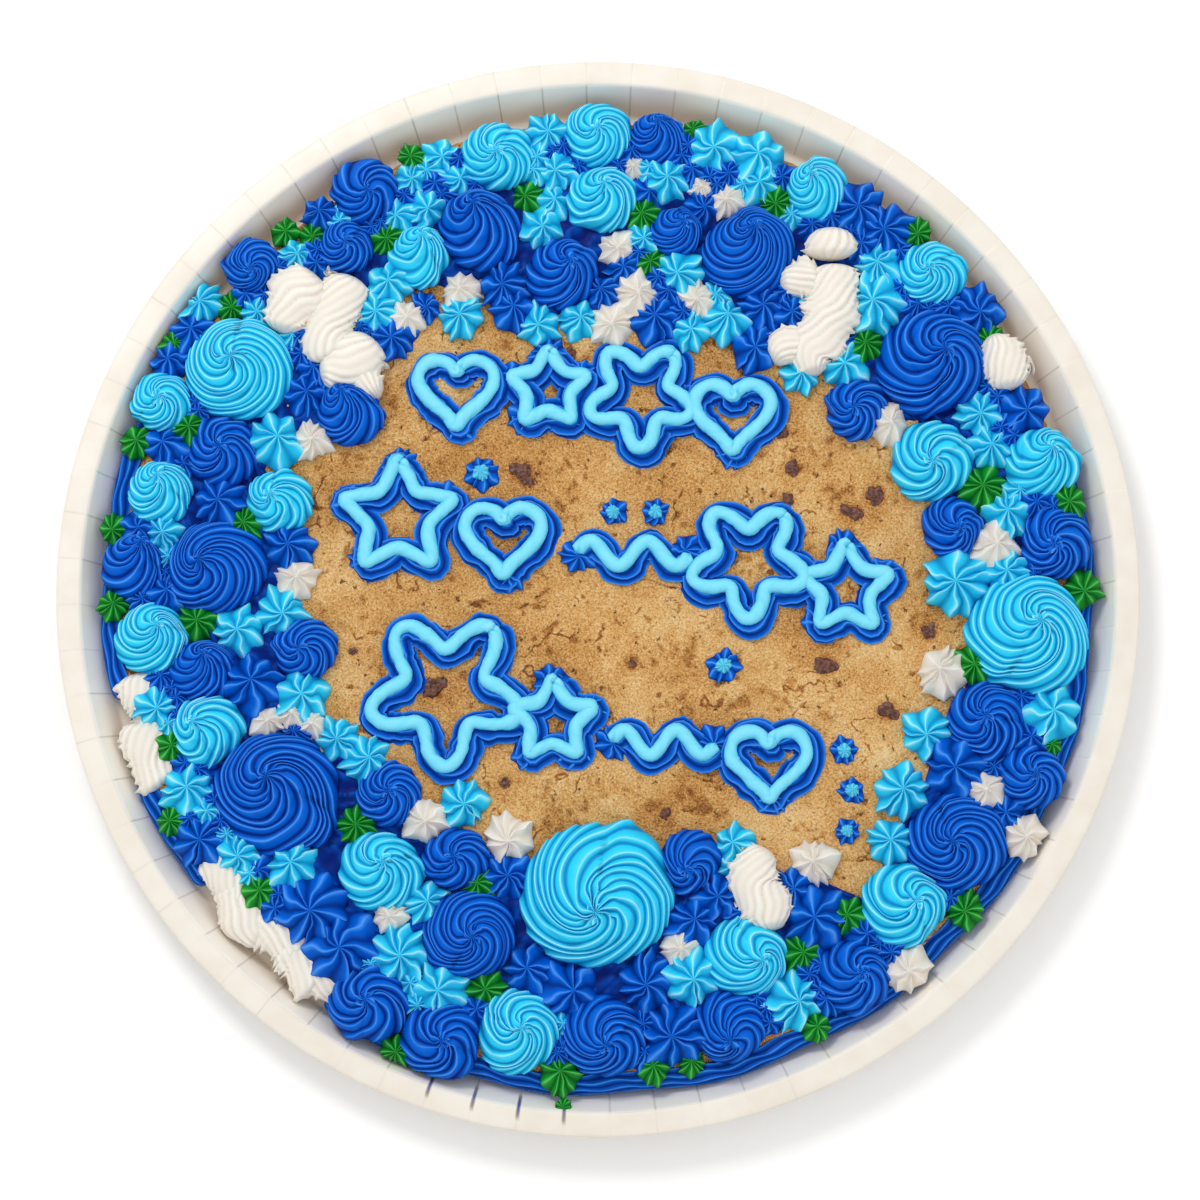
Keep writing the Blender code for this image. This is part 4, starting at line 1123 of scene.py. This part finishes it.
def chipSkin(place, seed):
    # A broken lump of chocolate: a low dome with a ragged outline of sines and random steps, and a rough top
    x, y, radius = place
    shape = chipShape
    chance = np.random.default_rng(seed)
    angle = np.arange(shape["columns"])[None, :] / shape["columns"] * turn
    rho, level = np.array(shape["rings"]).T[:, :, None]
    waves = chance.uniform(0, turn, 5)
    outline = 1.0 + addedWaves(angle, waves, shape["outline"])
    outline = outline + shape["steps"] * chance.uniform(-1, 1, shape["columns"])
    stretch = chance.uniform(*shape["stretch"])
    height = shape["rise"] * radius
    across, up = radius * rho * outline * np.cos(angle), radius * rho * outline * np.sin(angle) * stretch
    rough = 0.45 * turnedField(across + x, up + y, 1.2, seed)
    rough = rough + 0.30 * turnedField(across + x, up + y, 0.6, seed + 1)
    c, s = math.cos(waves[4]), math.sin(waves[4])
    level = shape["base"] + height * level + rough * np.maximum(level, 0.0)
    points = np.stack([x + c * across - s * up, y + s * across + c * up, level], axis=-1)
    return closedSkin(points, (x, y, shape["base"] + height), (x, y, shape["under"] - 0.5 * height),
                      np.full(points.shape[:2], 0.5))


chipSkins = [chipSkin(c, seeds["chip"] + k) for k, c in enumerate(chips)]
makePiece("baked_cookie_disc", [cookieSkin()], bakedCookie, "cookie_baked", ["cookie"])
makePiece("chocolate_chips", chipSkins, darkChocolate, "chocolate", ["cookie"])
print("cookie baked")


# The tray. Its section is radius and height, from the flat middle up the inside and down the outside.

trayShape = {
    "flat": ((40.0, 1.2), (100.0, 1.2), (160.0, 1.2), (190.0, 1.2)),
    "section": ((195.0, 1.2), (196.8, 1.3), (197.9, 1.9), (198.6, 3.0), (200.6, 7.0), (202.7, 11.0),
                (204.7, 15.0), (206.0, 18.0), (206.5, 19.2), (207.1, 19.85), (207.9, 20.0), (210.0, 19.95),
                (212.5, 19.85), (215.2, 19.7), (216.1, 19.4), (216.4, 18.9), (216.1, 18.35), (212.5, 18.5),
                (208.8, 18.8), (207.8, 18.5), (207.1, 17.6), (204.0, 11.0), (200.3, 3.6), (199.3, 1.4),
                (198.0, 0.3), (196.4, 0.0)),
    "under": (120.0, 0.0), "topRings": 19, "pleats": 72, "firstPleat": 1.3, "groove": 0.32, "step": 0.16,
    "grooveWide": 0.011, "dyeWide": 0.026, "tilt": 0.18,
    "dyed": ((50, 0.9), (51, 0.7), (52, 1.0), (53, 0.6)),
    "parts": (0.0, 0.012, 0.03, 0.055, 0.15, 0.32, 0.5, 0.68, 0.85, 0.945, 0.97, 0.988),
}


def traySkin():
    # The tray's section turned round, each pleat rising a little to the fold that laps over the next, with a
    # narrow groove at every fold
    shape = trayShape
    pleats = shape["pleats"]
    rings = np.vstack([shape["flat"], shape["section"], [shape["under"]]])
    radius, level = rings[:, :1], rings[:, 1:]
    share, place = ridgeSteps(shape["parts"], pleats)
    angle = math.radians(shape["firstPleat"]) + place / pleats * turn
    number = np.repeat(np.arange(pleats), len(shape["parts"]))
    folded = blend(196.0, 199.0, radius) * blend(1.3, 3.0, level)
    near = np.minimum(share, 1.0 - share)
    groove = np.exp(-(near / shape["grooveWide"]) ** 2)
    chance = np.random.default_rng(seeds["tray"])
    middle = math.radians(shape["firstPleat"]) + np.arange(pleats) / pleats * turn
    # Each fold's groove depth and painted shade, both greater at the back of the tray
    deep = chance.uniform(0.03, 0.20, pleats)
    deep = deep + 0.55 * chance.uniform(0.0, 1.0, pleats) * np.maximum(np.sin(middle), 0.0) ** 2
    deep = np.where(share < 0.5, deep[number], np.roll(deep, -1)[number])
    lap = shape["step"] * (blend(0.0, 1.0, share) - 0.5) * (1.0 - groove)
    topSide = (np.arange(len(rings)) < shape["topRings"])[:, None]
    push = folded * (lap - shape["groove"] * deep * groove)
    push = np.where(topSide, push, 0.3 * push)
    tilt = chance.uniform(-shape["tilt"], shape["tilt"], pleats)[number]
    height = level + np.where(level > 18.0, push, 0.0) + folded * tilt * blend(206.0, 216.0, radius)
    # The folds' dark lines: a dark joint with painted shade in the crease, fainter on the rim's top
    seam = folded * groove * deep * (0.9 - 0.55 * blend(19.0, 20.0, level))
    dyed = np.zeros(pleats)
    for pleat, strength in shape["dyed"]:
        dyed[pleat] = strength
    dyed = np.where(share < 0.5, dyed[number], np.roll(dyed, -1)[number])
    dyedRings = blend(202.0, 204.0, radius) * blend(211.0, 208.5, radius) * topSide
    dye = dyed * np.exp(-(near / shape["dyeWide"]) ** 2) * dyedRings
    # Painted light: the inner wall is painted lighter, to lift its shade
    wall = blend(19.9, 19.0, level) * (radius < 207.5) * topSide
    tone = np.where(dye > 0.05, 1.0 + dye, np.where(seam > 0.02, seam, -wall))
    points = polar(0.0, 0.0, radius - 0.8 * push * (level <= 19.0), angle, height)
    return closedSkin(points, (0, 0, 1.2), (0, 0, 0.0), tone)


crumbs = ((-13.6, -204.4, 16.0, 2.9),)
crumbSkins = [starSkin((x, y, r), "leaf", [], seeds["crumb"] + k, z, 0.9 * r)
              for k, (x, y, z, r) in enumerate(crumbs)]
makePiece("icing_crumb_on_tray", crumbSkins, *icing["leaf"], ["cookie"])
makePiece("pleated_tray", [traySkin()], paperboard, "tray_paperboard", ["tray"])
print("tray folded")


# Floor, light and camera. The floor is measured in metres, and so are the lights' sizes and places.

roomLook = {
    "floor": "FAFAFA", "floorHalf": 3.0, "floorRoughness": 0.6, "worldStrength": 0.90,
    "lights": {"key_light": {"place": (-0.50, 0.90, 1.35), "size": 0.5, "watts": 9.2},
               "fill_light": {"place": (0.9, -0.5, 1.3), "size": 1.2, "watts": 1.1}},
}
cameraLook = {"aim": (0.8, -3.1, 20.0), "elevation": 83.0, "distance": 2000.0, "lens": 150.3}


def makeFloor():
    mesh = bpy.data.meshes.new("white_table")
    far = roomLook["floorHalf"]
    mesh.from_pydata([(-far, -far, 0), (far, -far, 0), (far, far, 0), (-far, far, 0)], [], [(0, 1, 2, 3)])
    material, tree = newMaterial("white_table_top")
    finishMaterial(tree, {"Base Color": linear(roomLook["floor"]), "Roughness": roomLook["floorRoughness"]})
    mesh.materials.append(material)
    floor = bpy.data.objects.new("white_table", mesh)
    bpy.context.scene.collection.objects.link(floor)
    floor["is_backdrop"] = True


def makeLight(name, place, size, watts):
    light = bpy.data.lights.new(name, "AREA")
    light.shape = "DISK"
    light.size = size
    light.energy = watts
    lamp = bpy.data.objects.new(name, light)
    lamp.location = place
    lamp.rotation_euler = Vector(place).to_track_quat("Z", "Y").to_euler()
    bpy.context.scene.collection.objects.link(lamp)


def makeWorld():
    world = bpy.data.worlds.new("soft_studio")
    world.use_nodes = True
    background = world.node_tree.nodes["Background"]
    background.inputs["Color"].default_value = (1.0, 1.0, 1.0, 1.0)
    background.inputs["Strength"].default_value = roomLook["worldStrength"]
    bpy.context.scene.world = world


def makeCamera():
    tilt = math.radians(cameraLook["elevation"])
    back = Vector((0.0, -math.cos(tilt), math.sin(tilt)))
    camera = bpy.data.cameras.new("camera")
    camera.lens = cameraLook["lens"]
    camera.sensor_width = 36.0
    camera.clip_start = 0.05
    camera.clip_end = 20.0
    holder = bpy.data.objects.new("camera", camera)
    holder.location = (Vector(cameraLook["aim"]) + back * cameraLook["distance"]) * mm
    holder.rotation_euler = back.to_track_quat("Z", "Y").to_euler()
    bpy.context.scene.collection.objects.link(holder)
    bpy.context.scene.camera = holder


makeFloor()
for name, look in roomLook["lights"].items():
    makeLight(name, **look)
makeWorld()
makeCamera()
bpy.context.scene.view_settings.view_transform = "Standard"
triangles = sum(len(p.vertices) - 2 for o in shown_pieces() if o.type == "MESH" for p in o.data.polygons)
print("scene ready with", triangles, "triangles")
